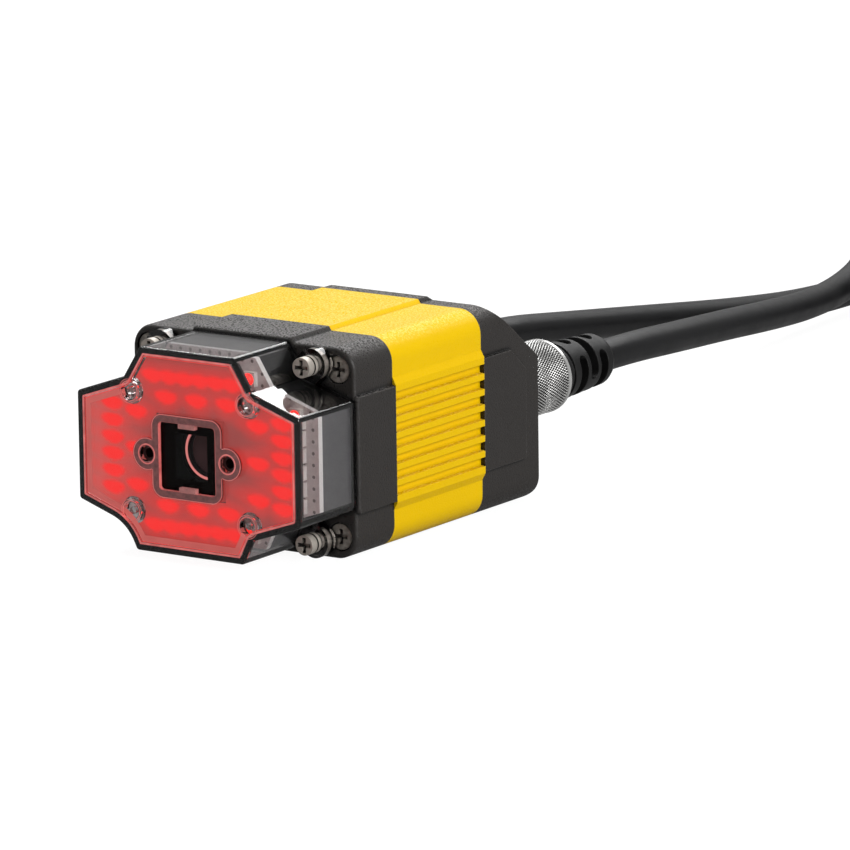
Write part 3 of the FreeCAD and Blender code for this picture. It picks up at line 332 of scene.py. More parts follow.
    def shaded(self, tree: Tree, colour: Socket) -> Socket:
        """Paints shade into narrow corners, where light hardly comes.

        Args:
            tree: Node tree of the material.
            colour: The colour in the open.

        Returns:
            The colour, darker in corners.
        """
        open_share = add_node(
            tree, "ShaderNodeAmbientOcclusion", {"Distance": self.cavity * MM}, samples=CORNER_RAYS
        ).outputs["AO"]
        level = add_node(tree, "ShaderNodeMapRange", {
            "Value": open_share, "From Min": CORNER_SPAN[0], "From Max": CORNER_SPAN[1],
            "To Min": self.cavity_shade,
        }).outputs[0]
        return add_node(
            tree, "ShaderNodeVectorMath", {0: colour, "Scale": level}, operation="SCALE"
        ).outputs[0]

    @staticmethod
    def upward(tree: Tree, rises: Span) -> Socket:
        """Gives a mask of the faces that look up.

        Args:
            tree: Node tree of the material.
            rises: Upward parts of the normal at which the mask starts and is full.

        Returns:
            1 on top faces and 0 on walls.
        """
        normal = add_node(tree, "ShaderNodeNewGeometry").outputs["Normal"]
        rise = add_node(tree, "ShaderNodeSeparateXYZ", {0: normal}).outputs["Z"]
        return add_node(tree, "ShaderNodeMapRange", {
            "Value": rise, "From Min": rises[0], "From Max": rises[1],
        }).outputs[0]

    @staticmethod
    def edge_mask(tree: Tree, edge_normal: Socket, cloud: Socket) -> Socket:
        """Gives a patchy mask of the edges, which look paler from wear and from a painted highlight.

        Args:
            tree: Node tree of the material.
            edge_normal: Normal with rounded edges.
            cloud: Noise that breaks the edges up.

        Returns:
            Above 0 on the paler edges and 0 on faces.
        """
        flat = add_node(tree, "ShaderNodeNewGeometry").outputs["Normal"]
        same = add_node(
            tree, "ShaderNodeVectorMath", {0: flat, 1: edge_normal}, operation="DOT_PRODUCT"
        ).outputs["Value"]
        bent = add_node(tree, "ShaderNodeMapRange", {
            "Value": same, "From Min": WEAR_HIGHLIGHT_SPAN[0], "From Max": WEAR_HIGHLIGHT_SPAN[1], "To Max": WEAR_HIGHLIGHT_MOST,
        }).outputs[0]
        return add_node(tree, "ShaderNodeMath", {0: bent, 1: cloud}, operation="MULTIPLY").outputs[0]


@dataclass(frozen=True)
class ClearFinish(Finish):
    """A clear solid such as moulded polycarbonate or lens glass."""

    roughness_spread: float = 0.0

    def constants(self) -> dict[str, float | Colour]:
        """Gives the values of the opaque finish, with all light let through."""
        return {**super().constants(), "Transmission Weight": 1.0}


@dataclass(frozen=True)
class LedFinish(Finish):
    """White LED packages whose lenses, in front of one plane, glow red."""

    lens_colour: str = "#FF1408"
    lens_plane: float = -39.9
    glow: float = 1.8

    def patterns(self, tree: Tree, coords: Socket) -> Links:
        """Splits package and lens by their place along the reader.

        Args:
            tree: Node tree of the material.
            coords: Object coordinates, in metres.

        Returns:
            Shader socket to the output that drives it.
        """
        links = super().patterns(tree, coords)
        along = add_node(tree, "ShaderNodeSeparateXYZ", {0: coords}).outputs["Y"]
        lens = add_node(tree, "ShaderNodeMath", {0: along, 1: self.lens_plane * MM}, operation="LESS_THAN")
        lenses = [(lens.outputs[0], linear(self.lens_colour))]
        links["Base Color"] = self.layered(tree, linear(self.colour), lenses)
        links["Emission Color"] = self.layered(tree, NO_LIGHT, lenses)
        return links

    def constants(self) -> dict[str, float | Colour]:
        """Gives the values of the opaque finish, with the lenses' light."""
        return {**super().constants(), "Emission Strength": self.glow}


@dataclass(frozen=True)
class GlowFinish(Finish):
    """A frosted sheet that LEDs light from behind: the piece's own attributes say how much.

    The spots' colour is linear, because its red is brighter than white.
    """

    spot_colour: Colour = (1.1, 0.006, 0.003, 1.0)
    haze_colour: str = "#CC7A74"
    unlit_colour: str = "#1C0808"
    strength: float = 1.0
    front_facing: Span = (-0.7, -0.3)

    def patterns(self, tree: Tree, coords: Socket) -> Links:
        """Mixes the sheet's own red, the LEDs' spots and the paler side, on the front face alone.

        Args:
            tree: Node tree of the material.
            coords: Object coordinates, in metres.

        Returns:
            Shader socket to the output that drives it.
        """
        links = super().patterns(tree, coords)
        haze, glow = (
            add_node(tree, "ShaderNodeAttribute", attribute_name=name).outputs["Fac"]
            for name in ("haze", "glow")
        )
        links["Emission Color"] = self.layered(
            tree, links.pop("Base Color"), [(haze, linear(self.haze_colour)), (glow, self.spot_colour)]
        )
        normal = add_node(tree, "ShaderNodeNewGeometry").outputs["Normal"]
        along = add_node(tree, "ShaderNodeSeparateXYZ", {0: normal}).outputs["Y"]
        links["Emission Strength"] = add_node(tree, "ShaderNodeMapRange", {
            "Value": along, "From Min": self.front_facing[0], "From Max": self.front_facing[1],
            "To Min": self.strength, "To Max": 0.0,
        }).outputs[0]
        return links

    def constants(self) -> dict[str, float | Colour]:
        """Gives the values of the opaque finish, dark by itself."""
        return {**super().constants(), "Base Color": linear(self.unlit_colour)}


class Zone(Enum):
    """Shape of a zone round the lens axis."""

    SQUARE = "square"
    ROUND = "round"


@dataclass(frozen=True)
class ZoneFinish(Finish):
    """A dark piece round the lens axis, whose outer zone takes on the red of the lit sheet."""

    zone: Zone = Zone.SQUARE
    lit_from: float = 7.2
    lit_colour: str = "#A03834"

    def patterns(self, tree: Tree, coords: Socket) -> Links:
        """Splits the dark and the lit zone by the distance from the axis.

        Args:
            tree: Node tree of the material.
            coords: Object coordinates, in metres.

        Returns:
            Shader socket to the output that drives it.
        """
        links = super().patterns(tree, coords)
        away = add_node(tree, "ShaderNodeVectorMath", {
            0: coords, 1: ACROSS, 2: (0.0, 0.0, -AXIS_HEIGHT * MM),
        }, operation="MULTIPLY_ADD").outputs[0]
        if self.zone is Zone.ROUND:
            reach = add_node(tree, "ShaderNodeVectorMath", {0: away}, operation="LENGTH").outputs["Value"]
        else:
            sizes = add_node(tree, "ShaderNodeVectorMath", {0: away}, operation="ABSOLUTE").outputs[0]
            place = add_node(tree, "ShaderNodeSeparateXYZ", {0: sizes}).outputs
            reach = add_node(
                tree, "ShaderNodeMath", {0: place["X"], 1: place["Z"]}, operation="MAXIMUM"
            ).outputs[0]
        lit = add_node(tree, "ShaderNodeMath", {0: reach, 1: self.lit_from * MM}, operation="GREATER_THAN")
        links["Emission Color"] = self.layered(
            tree, NO_LIGHT, [(lit.outputs[0], linear(self.lit_colour))]
        )
        return links

    def constants(self) -> dict[str, float | Colour]:
        """Gives the values of the opaque finish, with the red light in the outer zone."""
        return {**super().constants(), "Emission Strength": 1.0}


@dataclass(frozen=True)
class KnurlFinish(Finish):
    """Plated metal with painted shade in the grooves of its knurl, as the piece's own attribute says."""

    painted_groove_shade: str = "#121212"
    groove_span: Span = (0.35, 0.53)

    def patterns(self, tree: Tree, coords: Socket) -> Links:
        """Paints shade into the grooves.

        Args:
            tree: Node tree of the material.
            coords: Object coordinates, in metres.

        Returns:
            Shader socket to the output that drives it.
        """
        links = super().patterns(tree, coords)
        groove = add_node(tree, "ShaderNodeAttribute", attribute_name="groove").outputs["Fac"]
        depth = add_node(tree, "ShaderNodeMapRange", {
            "Value": groove, "From Min": self.groove_span[0], "From Max": self.groove_span[1],
        }).outputs[0]
        # Painted shade: the grooves get a darker colour.
        links["Base Color"] = self.layered(
            tree, links["Base Color"], [(depth, linear(self.painted_groove_shade))]
        )
        return links


@dataclass(frozen=True)
class LeadsFinish(Finish):
    """Insulated leads: each place round the cable has its colour, and the ends are tinned."""

    start: Point = POWER_END
    forward: Point = (0.0, -1.0, 0.0)
    insulated: float = 20.0
    lead_colours: tuple[str, ...] = ("#8A1F18", "#141414", "#D8D4CC", "#2A5E34", "#23407C", "#7A4A22")
    tin_colour: str = "#C8C6C2"

    def patterns(self, tree: Tree, coords: Socket) -> Links:
        """Colours the leads by their angle round the cable.

        Args:
            tree: Node tree of the material.
            coords: Object coordinates, in metres.

        Returns:
            Shader socket to the output that drives it.
        """
        links = super().patterns(tree, coords)
        along, up = Vector(self.forward), Vector((0.0, 0.0, 1.0))
        across = along.cross(up).normalized()
        from_start = add_node(
            tree, "ShaderNodeVectorMath", {0: coords, 1: Vector(self.start) * MM}, operation="SUBTRACT"
        ).outputs[0]
        reach, side, rise = (
            add_node(
                tree, "ShaderNodeVectorMath", {0: from_start, 1: axis}, operation="DOT_PRODUCT"
            ).outputs["Value"]
            for axis in (along, across, up)
        )
        angle = add_node(tree, "ShaderNodeMath", {0: rise, 1: side}, operation="ARCTAN2").outputs[0]
        share = add_node(tree, "ShaderNodeMapRange", {
            "Value": angle, "From Min": -math.pi, "From Max": math.pi,
        }).outputs[0]
        ramp = add_node(tree, "ShaderNodeValToRGB", {0: share})
        ramp.color_ramp.interpolation = "CONSTANT"
        stops = ramp.color_ramp.elements
        for k, code in enumerate(self.lead_colours):
            stop = stops.new(k / len(self.lead_colours)) if k else stops[0]
            stop.color = linear(code)
        stops.remove(stops[-1])
        tinned = add_node(
            tree, "ShaderNodeMath", {0: reach, 1: self.insulated * MM}, operation="GREATER_THAN"
        ).outputs[0]
        links["Base Color"] = self.layered(tree, ramp.outputs[0], [(tinned, linear(self.tin_colour))])
        links["Metallic"] = tinned
        return links


@dataclass(frozen=True)
class BoardFinish(Finish):
    """A circuit board whose solder mask is dotted with plated holes and paler along its rear edge."""

    dot_pitch: float = 2.3
    dot_size: float = 0.35
    dot_colour: str = "#6E5E5A"
    edge_colour: str = "#F6F4F2"
    edge_from: float = -38.78

    def patterns(self, tree: Tree, coords: Socket) -> Links:
        """Adds the holes in rows and columns, and the paler edge.

        Args:
            tree: Node tree of the material.
            coords: Object coordinates, in metres.

        Returns:
            Shader socket to the output that drives it.
        """
        links = super().patterns(tree, coords)
        half = self.dot_pitch * MM / 2
        wrapped = add_node(tree, "ShaderNodeVectorMath", {
            0: coords, 1: (half, half, half), 2: (-half, -half, -half),
        }, operation="WRAP").outputs[0]
        flat = add_node(tree, "ShaderNodeVectorMath", {0: wrapped, 1: ACROSS}, operation="MULTIPLY")
        off = add_node(
            tree, "ShaderNodeVectorMath", {0: flat.outputs[0]}, operation="LENGTH"
        ).outputs["Value"]
        dot = add_node(tree, "ShaderNodeMath", {0: off, 1: self.dot_size * MM}, operation="LESS_THAN")
        along = add_node(tree, "ShaderNodeSeparateXYZ", {0: coords}).outputs["Y"]
        edge = add_node(tree, "ShaderNodeMath", {0: along, 1: self.edge_from * MM}, operation="GREATER_THAN")
        links["Base Color"] = self.layered(tree, links["Base Color"], [
            (dot.outputs[0], linear(self.dot_colour)), (edge.outputs[0], linear(self.edge_colour)),
        ])
        return links


# Polyester powder coat on a casting: even deep yellow with a faint orange peel and a soft sheen, with painted
# glints on top and painted shade in narrow corners; its grit is too fine to show, so it is drawn at 0.35 mm
YELLOW_COAT = Finish(
    "yellow_powder_coat", "#EDC200", "#E7BB00", mottle=9.0, roughness=0.42, ior=1.25, grain=0.35,
    grain_height=0.07, edge=0.3, sparkle=0.15, glint=0.5, painted_glint_colour="#FFDE58", cavity=0.8,
    cavity_shade=0.8,
)
# Textured powder coat on a casting: warm black with a coarse grain and painted glints on top, its edges paler
# from wear and from a painted highlight, and painted shade in narrow corners; its grit is drawn at 0.35 mm
# too
BLACK_COAT = Finish(
    "black_textured_coat", "#282523", "#2C2927", mottle=4.0, roughness=0.46, ior=1.42, grain=0.35,
    grain_height=0.12, edge=0.35, worn_highlight_colour="#A09C98", sparkle=0.2, glint=0.5, painted_glint_colour="#6A6664",
    cavity=1.0, cavity_shade=0.1,
)
# Moulded polycarbonate: clear and glossy, with strong refraction that darkens its edges
POLYCARBONATE = ClearFinish("clear_polycarbonate", "#F4F2F2", roughness=0.03, ior=1.58)
# Window glass with an anti-reflection coat: hardly seen, so that the dark inside shows
COATED_WINDOW = ClearFinish("coated_window_glass", "#F8F8F8", roughness=0.0, ior=1.2)
# Frosted polycarbonate sheet, lit from behind: a soft dull red with bright red spots
FROSTED = GlowFinish("frosted_polycarbonate", "#AC423E", "#963632", mottle=7.0, roughness=0.6)
# Moulded edges of clear polycarbonate that carry the LEDs' light: uneven thin pink lines
PINK_EDGE = Finish("lit_polycarbonate_edge", "#F08E8A", "#A84644", mottle=2.0, roughness=0.5, emission=0.6)
# The same along the sheet's border, where more light leaves it: a thin bright red line
RED_EDGE = Finish("red_lit_polycarbonate_edge", "#FF4440", "#C83432", mottle=4.0, roughness=0.5, emission=0.7)
# Frosted polycarbonate at the rim of the sheet, far from the LEDs: a paler, dull red with a painted glow
DIM_EDGE = Finish("frosted_polycarbonate_edge", "#BC605B", "#A04440", mottle=6.0, roughness=0.5, emission=0.9)
# Thick clear polycarbonate, drawn opaque: a blotchy red with a painted glow, standing in for the dark and lit
# places that it shows at once
PAINTED_LIGHT_FRAME = Finish("polycarbonate_with_painted_light", "#341616", "#945A58", mottle=1.0, roughness=0.4, emission=0.5)
# Moulded LED packages with tinted lenses: off-white with glowing red tops
LED_PACKAGE = LedFinish("led_package", "#E9E6E2", roughness=0.4)
# Printed white solder mask on glass fibre: matt, blotchy pinkish white with small dark holes and a faint
# painted glow
WHITE_BOARD = BoardFinish(
    "white_solder_mask", "#F0E2E0", "#C8B6B4", mottle=1.1, roughness=0.5, emission=0.06
)
# Printed green solder mask on glass fibre: deep green with a dull shine
GREEN_BOARD = Finish("green_solder_mask", "#1E5A33", "#184A2A", mottle=2.0, roughness=0.4)
# Moulded grey nylon: an even middle grey on its sides, and painted shade, nearly black, on top under the
# cover's upper arm
GREY_PLASTIC = Finish(
    "grey_nylon", "#5E5E60", "#525254", mottle=3.0, roughness=0.5, grain=0.3, grain_height=0.01,
    painted_top_shade="#121213",
)
# Moulded black nylon: nearly black with a dull shine
BLACK_PLASTIC = Finish(
    "black_nylon", "#0A090A", "#0E0C0D", mottle=3.0, roughness=0.45, grain=0.3, grain_height=0.01
)
# Moulded clear acrylic next to the lit sheet, drawn as a glossy pink with a painted glow, brighter and darker
# in places
CATCH_PLASTIC = Finish("lit_clear_acrylic", "#D08A86", "#80504E", mottle=1.2, roughness=0.25, emission=0.35)
# Turned dark acetal: brown-black with a slight shine
SLEEVE_PLASTIC = Finish("dark_acetal", "#301818", "#3C2222", mottle=1.0, roughness=0.4)
# Black flock: a deep black without shine
LIGHT_TRAP = Finish("black_flock", "#050304", "#080506", mottle=3.0, roughness=0.9, ior=1.1)
# Black flock inside, with the outside lit red through the cover
HOOD_TRAP = ZoneFinish("black_flock_lit_outside", "#050304", "#080506", mottle=3.0, roughness=0.9, ior=1.1)
# Printed ink: a flat black frame
MASK_INK = Finish("black_mask_ink", "#060303", "#0A0404", mottle=2.0, roughness=0.8, ior=1.1)
# Turned acrylic ring: dark, with a pink rim that carries light
LENS_RING = ZoneFinish(
    "lit_acrylic_ring", "#241212", "#301A1A", mottle=1.5, roughness=0.4, zone=Zone.ROUND, lit_from=4.95,
    lit_colour="#DC807C",
)
# Moulded epoxy: matt blue-black
CHIP_PLASTIC = Finish("epoxy_moulding", "#161718", "#1C1D1E", mottle=1.0, roughness=0.55)
# Turned stainless steel: warm pale grey, blotchy from handling, with painted shade in the drive
BRIGHT_STEEL = Finish(
    "turned_stainless_steel", "#D8D0C6", "#A49C92", mottle=1.0, roughness=0.4, metallic=0.45, edge=0.15,
    cavity=0.7, cavity_shade=0.12,
)
# Blackened steel, worn bright in places: dark brown-grey with pale patches, and painted shade in the drive
DARK_STEEL = Finish(
    "worn_steel", "#4A443E", "#C4BCB2", mottle=0.8, roughness=0.35, metallic=0.35, edge=0.15, cavity=0.7,
    cavity_shade=0.12,
)
# Nickel-plated brass, turned: a clean grey mirror, a little soft
NICKEL = Finish(
    "nickel_plated_brass", "#A8A6A2", "#96938E", mottle=2.0, roughness=0.25, metallic=1.0, edge=0.1
)
# Nickel on a rolled knurl: bright diamonds between grooves darkened with painted shade
KNURLED_NICKEL = KnurlFinish(
    "knurled_nickel", "#DEDEDC", "#CCCBC9", mottle=2.0, roughness=0.3, metallic=0.7
)
# Gold plate on contacts: warm and bright
GOLD = Finish("gold_plated_contact", "#E0B25A", "#C99A44", mottle=0.8, roughness=0.25, metallic=1.0)
# Black anodised aluminium, turned: black with a metal sheen
BLACK_ANODISED = Finish(
    "black_anodised_aluminium", "#101010", "#171717", mottle=1.5, roughness=0.4, metallic=0.6
)
# Coated lens glass: a dark brown gloss, because nothing behind it is lit, with a faint painted glow in
# blotches for its reflections
LENS_GLASS = Finish("coated_lens_glass", "#2C1818", "#54383A", mottle=4.0, roughness=0.04, emission=0.3)
# Moulded soft PVC: black with a dull sheen and rounded edges
BLACK_RUBBER = Finish(
    "black_moulded_pvc", "#101010", "#161616", mottle=3.0, roughness=0.45, ior=1.35, edge=0.3, grain=0.3,
    grain_height=0.008,
)
# Extruded PVC jacket: smooth black with one soft streak of light along it
CABLE_JACKET = Finish(
    "black_pvc_jacket", "#111112", "#171718", mottle=7.0, roughness=0.42, ior=1.35, grain=0.6,
    grain_height=0.01,
)
# Moulded silicone: a matt middle grey
GREY_SILICONE = Finish("grey_silicone", "#565658", "#4C4C4E", mottle=2.0, roughness=0.6)
# Moulded nitrile rubber: a matt black
SEAL_RUBBER = Finish("black_nitrile", "#141414", "#1A1A1A", mottle=2.0, roughness=0.6)
# Woven hook-and-loop tape: a fuzzy black without shine, its weave drawn at 0.5 mm so that it shows
STRAP = Finish(
    "black_hook_and_loop", "#161618", "#222226", mottle=0.8, roughness=0.9, grain=0.5, grain_height=0.15
)
# Moulded polycarbonate of a small plug: clear, slightly dull
CLEAR_PLUG = ClearFinish("clear_moulded_plug", "#E8ECEE", roughness=0.08, ior=1.58)
# Extruded PVC on stranded wire: one plain colour to a lead, and bright tinned ends
WIRE_PVC = LeadsFinish(
    "wire_pvc", "#8C2A1E", "#7C2218", mottle=4.0, roughness=0.4, start=POWER_END,
    forward=(-0.122, -0.993, 0.0),
)
# Extruded grey PVC ribbon: dull, faintly uneven at the pitch of its wires
RIBBON = Finish("grey_ribbon_pvc", "#9A9A9C", "#8C8C8E", mottle=1.27, roughness=0.5)

NODE_FINISHES: dict[str, Finish] = {
    "light_cover": POLYCARBONATE, "scan_window": COATED_WINDOW, "window_catches": CATCH_PLASTIC,
    "light_diffuser": FROSTED, "leds": LED_PACKAGE,
    "led_board": WHITE_BOARD, "light_base": GREY_PLASTIC, "aimers": SLEEVE_PLASTIC, "window_hood": HOOD_TRAP,
    "cover_screws": BRIGHT_STEEL, "cover_gasket": GREY_SILICONE, "front_bezel": BLACK_COAT,
    "bezel_screws": DARK_STEEL, "front_gasket": SEAL_RUBBER, "body_shell": YELLOW_COAT,
    "rear_gasket": SEAL_RUBBER, "rear_cover": BLACK_COAT, "rear_screws": DARK_STEEL,
    "lens_holder": LIGHT_TRAP, "lens_barrel": BLACK_ANODISED, "lens_ring": LENS_RING,
    "lens_glass": LENS_GLASS, "image_sensor": CHIP_PLASTIC, "sensor_board": GREEN_BOARD,
    "board_spacers": BRIGHT_STEEL, "stack_connector": BLACK_PLASTIC, "processor_board": GREEN_BOARD,
    "processor_chips": CHIP_PLASTIC, "board_screws": BRIGHT_STEEL, "board_headers": BLACK_PLASTIC,
    "ribbon_cable": RIBBON, "interface_board": GREEN_BOARD, "socket_seals": SEAL_RUBBER,
    "socket_lock_nuts": NICKEL, "plug_seals": SEAL_RUBBER, "hank_ties": STRAP, "network_boot": BLACK_RUBBER,
    "network_plug": CLEAR_PLUG, "power_leads": WIRE_PVC,
}
LINE_FINISHES: dict[str, Finish] = {
    "socket": NICKEL, "insert": BLACK_PLASTIC, "pins": GOLD, "plug_core": BLACK_PLASTIC, "nut": NICKEL,
    "grip": BLACK_RUBBER, "cable": CABLE_JACKET, "cable_end": CABLE_JACKET, "hank": CABLE_JACKET,
}


class Workshop:
    """Keeps one material per finish and turns meshes into pieces."""

    def __init__(self) -> None:
        """Starts with no material made."""
        self.made: dict[Finish, bpy.types.Material] = {}

    def dress(self, item: bpy.types.Object, finish: Finish) -> None:
        """Puts one finish on a whole object.

        Args:
            item: Mesh or curve object.
            finish: The finish, whose material is made on first use.
        """
        if finish not in self.made:
            self.made[finish] = finish.build()
        item.data.materials.clear()
        item.data.materials.append(self.made[finish])

    def piece(
        self, form: Form, name: str, finish: Finish, slot: str, body: str = READER
    ) -> bpy.types.Object:
        """Turns a bmesh into a dressed piece that rides on a body.

        Args:
            form: The mesh, which is freed.
            name: Name of the piece.
            finish: Its finish.
            slot: Name of its material slot; not used.
            body: The body that it moves with.

        Returns:
            The piece, at the origin.
        """
        mesh = bpy.data.meshes.new(name)
        form.to_mesh(mesh)
        form.free()
        item = bpy.data.objects.new(name, mesh)
        bpy.context.collection.objects.link(item)
        self.dress(item, finish)
        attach(item, body)
        return item


def merged_copy(node: bpy.types.Object) -> Form:
    """Copies a node's mesh, whose triangles are loose, and joins them.

    Args:
        node: Node of the frame.

    Returns:
        The copy, in its place.
    """
    form = bmesh.new()
    form.from_mesh(node.data)
    form.transform(node.matrix_world)
    bmesh.ops.remove_doubles(form, verts=form.verts, dist=MERGE_DISTANCE)
    return form


def closed_line(form: Form, points: list[Vector]) -> list[bmesh.types.BMEdge]:
    """Draws a closed line.

    Args:
        form: Mesh that gets the line.
        points: Its corners, in metres.

    Returns:
        Its edges.
    """
    ring = [form.verts.new(point) for point in points]
    return [form.edges.new(pair) for pair in zip(ring, ring[1:] + ring[:1])]


@dataclass(frozen=True)
class Softbox:
    """A lamp with a rectangular face that points at the reader; a brightness of 1 makes the face white."""

    name: str
    place: Point
    size: Span
    brightness: float

    def hang(self) -> None:
        """Adds the lamp to the scene."""
        data = bpy.data.lights.new(self.name, "AREA")
        data.shape = "RECTANGLE"
        data.size, data.size_y = (value * MM for value in self.size)
        data.energy = self.brightness * math.pi * data.size * data.size_y
        lamp = bpy.data.objects.new(self.name, data)
        lamp.location = Vector(self.place) * MM
        lamp.rotation_euler = (-lamp.location).to_track_quat("-Z", "Y").to_euler()
        bpy.context.collection.objects.link(lamp)


@dataclass
class Studio:
    """Camera of the photograph, soft lamps, floor and white surroundings.

    Attributes:
        azimuth: Direction of the camera from the reader's front, in degrees, as are the next two.
        elevation: Its height above the floor, as an angle.
        roll: Its turn about its own axis.
        target: Place that it looks at.
        distance: Its distance from there.
        focal_length: Its focal length.
        sensor: Width of its sensor.
        view_depth: How far it sees.
        softboxes: The lamps.
        surroundings: Brightness of the surroundings as a light, 1 being white.
        passed_on: Share of the white that metal and glass show of the background.
        floor_size: Width of the floor.
        floor_drop: Room between the floor and the reader.
        floor_colour: Colour of the floor where it takes light and shadow.
        floor_glow: Brightness that makes the floor white to look at.
    """

    azimuth: float = 34.396
    elevation: float = 12.238
    roll: float = 0.809
    target: Point = (15.554, 11.166, 18.339)
    distance: float = 1570.6
    focal_length: float = 338.8
    sensor: float = 36.0
    view_depth: float = 20000.0
    softboxes: tuple[Softbox, ...] = (
        Softbox("overhead", (-350.0, 350.0, 850.0), (900.0, 900.0), 2.2),
        Softbox("glint", (-500.0, 0.0, 740.0), (200.0, 200.0), 18.0),
        Softbox("right_side", (1000.0, -200.0, 330.0), (800.0, 800.0), 6.5),
        Softbox("front_left", (-700.0, -700.0, 500.0), (500.0, 500.0), 1.0),
        Softbox("behind", (-300.0, 900.0, 700.0), (1400.0, 300.0), 4.0),
    )
    surroundings: float = 0.1
    passed_on: float = 0.2
    floor_size: float = 6000.0
    floor_drop: float = 0.2
    floor_colour: str = "#686868"
    floor_glow: float = 0.945

    def build(self) -> None:
        """Makes everything that isn't part of the object."""
        self.camera()
        for softbox in self.softboxes:
            softbox.hang()
        self.world()
        self.floor()
        bpy.context.scene.view_settings.view_transform = "Standard"

    def camera(self) -> None:
        """Places the camera where the photograph was taken from."""
        az, el, roll = (math.radians(a) for a in (self.azimuth, self.elevation, self.roll))
        back = Vector((math.sin(az) * math.cos(el), -math.cos(az) * math.cos(el), math.sin(el)))
        right = Vector((math.cos(az), math.sin(az), 0.0))
        up = back.cross(right)
        turned_right = right * math.cos(roll) - up * math.sin(roll)
        turned_up = right * math.sin(roll) + up * math.cos(roll)
        data = bpy.data.cameras.new("photo_camera")
        data.lens = self.focal_length
        data.sensor_width = self.sensor
        data.clip_end = self.view_depth * MM
        camera = bpy.data.objects.new("photo_camera", data)
        place = (Vector(self.target) + back * self.distance) * MM
        turn = Matrix((turned_right, turned_up, back)).transposed().to_4x4()
        camera.matrix_world = Matrix.Translation(place) @ turn
        bpy.context.collection.objects.link(camera)
        bpy.context.scene.camera = camera

    def seen_white(self, tree: Tree) -> Socket:
        """Tells rays that show the surroundings from rays that only light the object.

        Args:
            tree: Node tree of the world or floor.

        Returns:
            1 for camera rays, a share of it for those that metal and glass pass on, and 0 for the rest.
        """
        rays = add_node(tree, "ShaderNodeLightPath").outputs
        sent = add_node(
            tree, "ShaderNodeMath", {0: rays["Is Glossy Ray"], 1: rays["Is Transmission Ray"]},
            operation="MAXIMUM",
        ).outputs[0]
        dimmed = add_node(
            tree, "ShaderNodeMath", {0: sent, 1: self.passed_on}, operation="MULTIPLY"
        ).outputs[0]
        return add_node(
            tree, "ShaderNodeMath", {0: rays["Is Camera Ray"], 1: dimmed}, operation="MAXIMUM"
        ).outputs[0]

    def world(self) -> None:
        """Makes the surroundings white to look at and dim as a light."""
        world = bpy.data.worlds.new("white_studio")
        bpy.context.scene.world = world
        world.use_nodes = True
        tree = world.node_tree
        tree.nodes.clear()
        strength = add_node(tree, "ShaderNodeMapRange", {
            "Value": self.seen_white(tree), "To Min": self.surroundings, "To Max": 1.0,
        })
        background = add_node(
            tree, "ShaderNodeBackground", {"Color": (1.0, 1.0, 1.0, 1.0), "Strength": strength.outputs[0]}
        )
        add_node(tree, "ShaderNodeOutputWorld", {"Surface": background.outputs[0]})

    def floor(self) -> None:
        """Lays the pale floor, which looks white and keeps the shadow."""
        mesh = bpy.data.meshes.new("floor")
        form = bmesh.new()
        bmesh.ops.create_grid(form, x_segments=1, y_segments=1, size=self.floor_size * MM / 2)
        form.to_mesh(mesh)
        form.free()
        material = bpy.data.materials.new("white_paper_floor")
        material.use_nodes = True
        tree = material.node_tree
        tree.nodes.clear()
        paper = add_node(tree, "ShaderNodeBsdfDiffuse", {"Color": linear(self.floor_colour)})
        level = (self.floor_glow, self.floor_glow, self.floor_glow, 1.0)
        glow = add_node(tree, "ShaderNodeEmission", {"Color": level, "Strength": self.seen_white(tree)})
        both = add_node(tree, "ShaderNodeAddShader", {0: paper.outputs[0], 1: glow.outputs[0]})
        add_node(tree, "ShaderNodeOutputMaterial", {"Surface": both.outputs[0]})
        mesh.materials.append(material)
        floor = bpy.data.objects.new("floor", mesh)
        floor.location.z = -self.floor_drop * MM
        bpy.context.collection.objects.link(floor)


class FarEnd(Enum):
    """What is on a cable's far end, in the words of the cord's declaration."""

    MODULAR_PLUG = "plug"
    STRIPPED_LEADS = "bare"


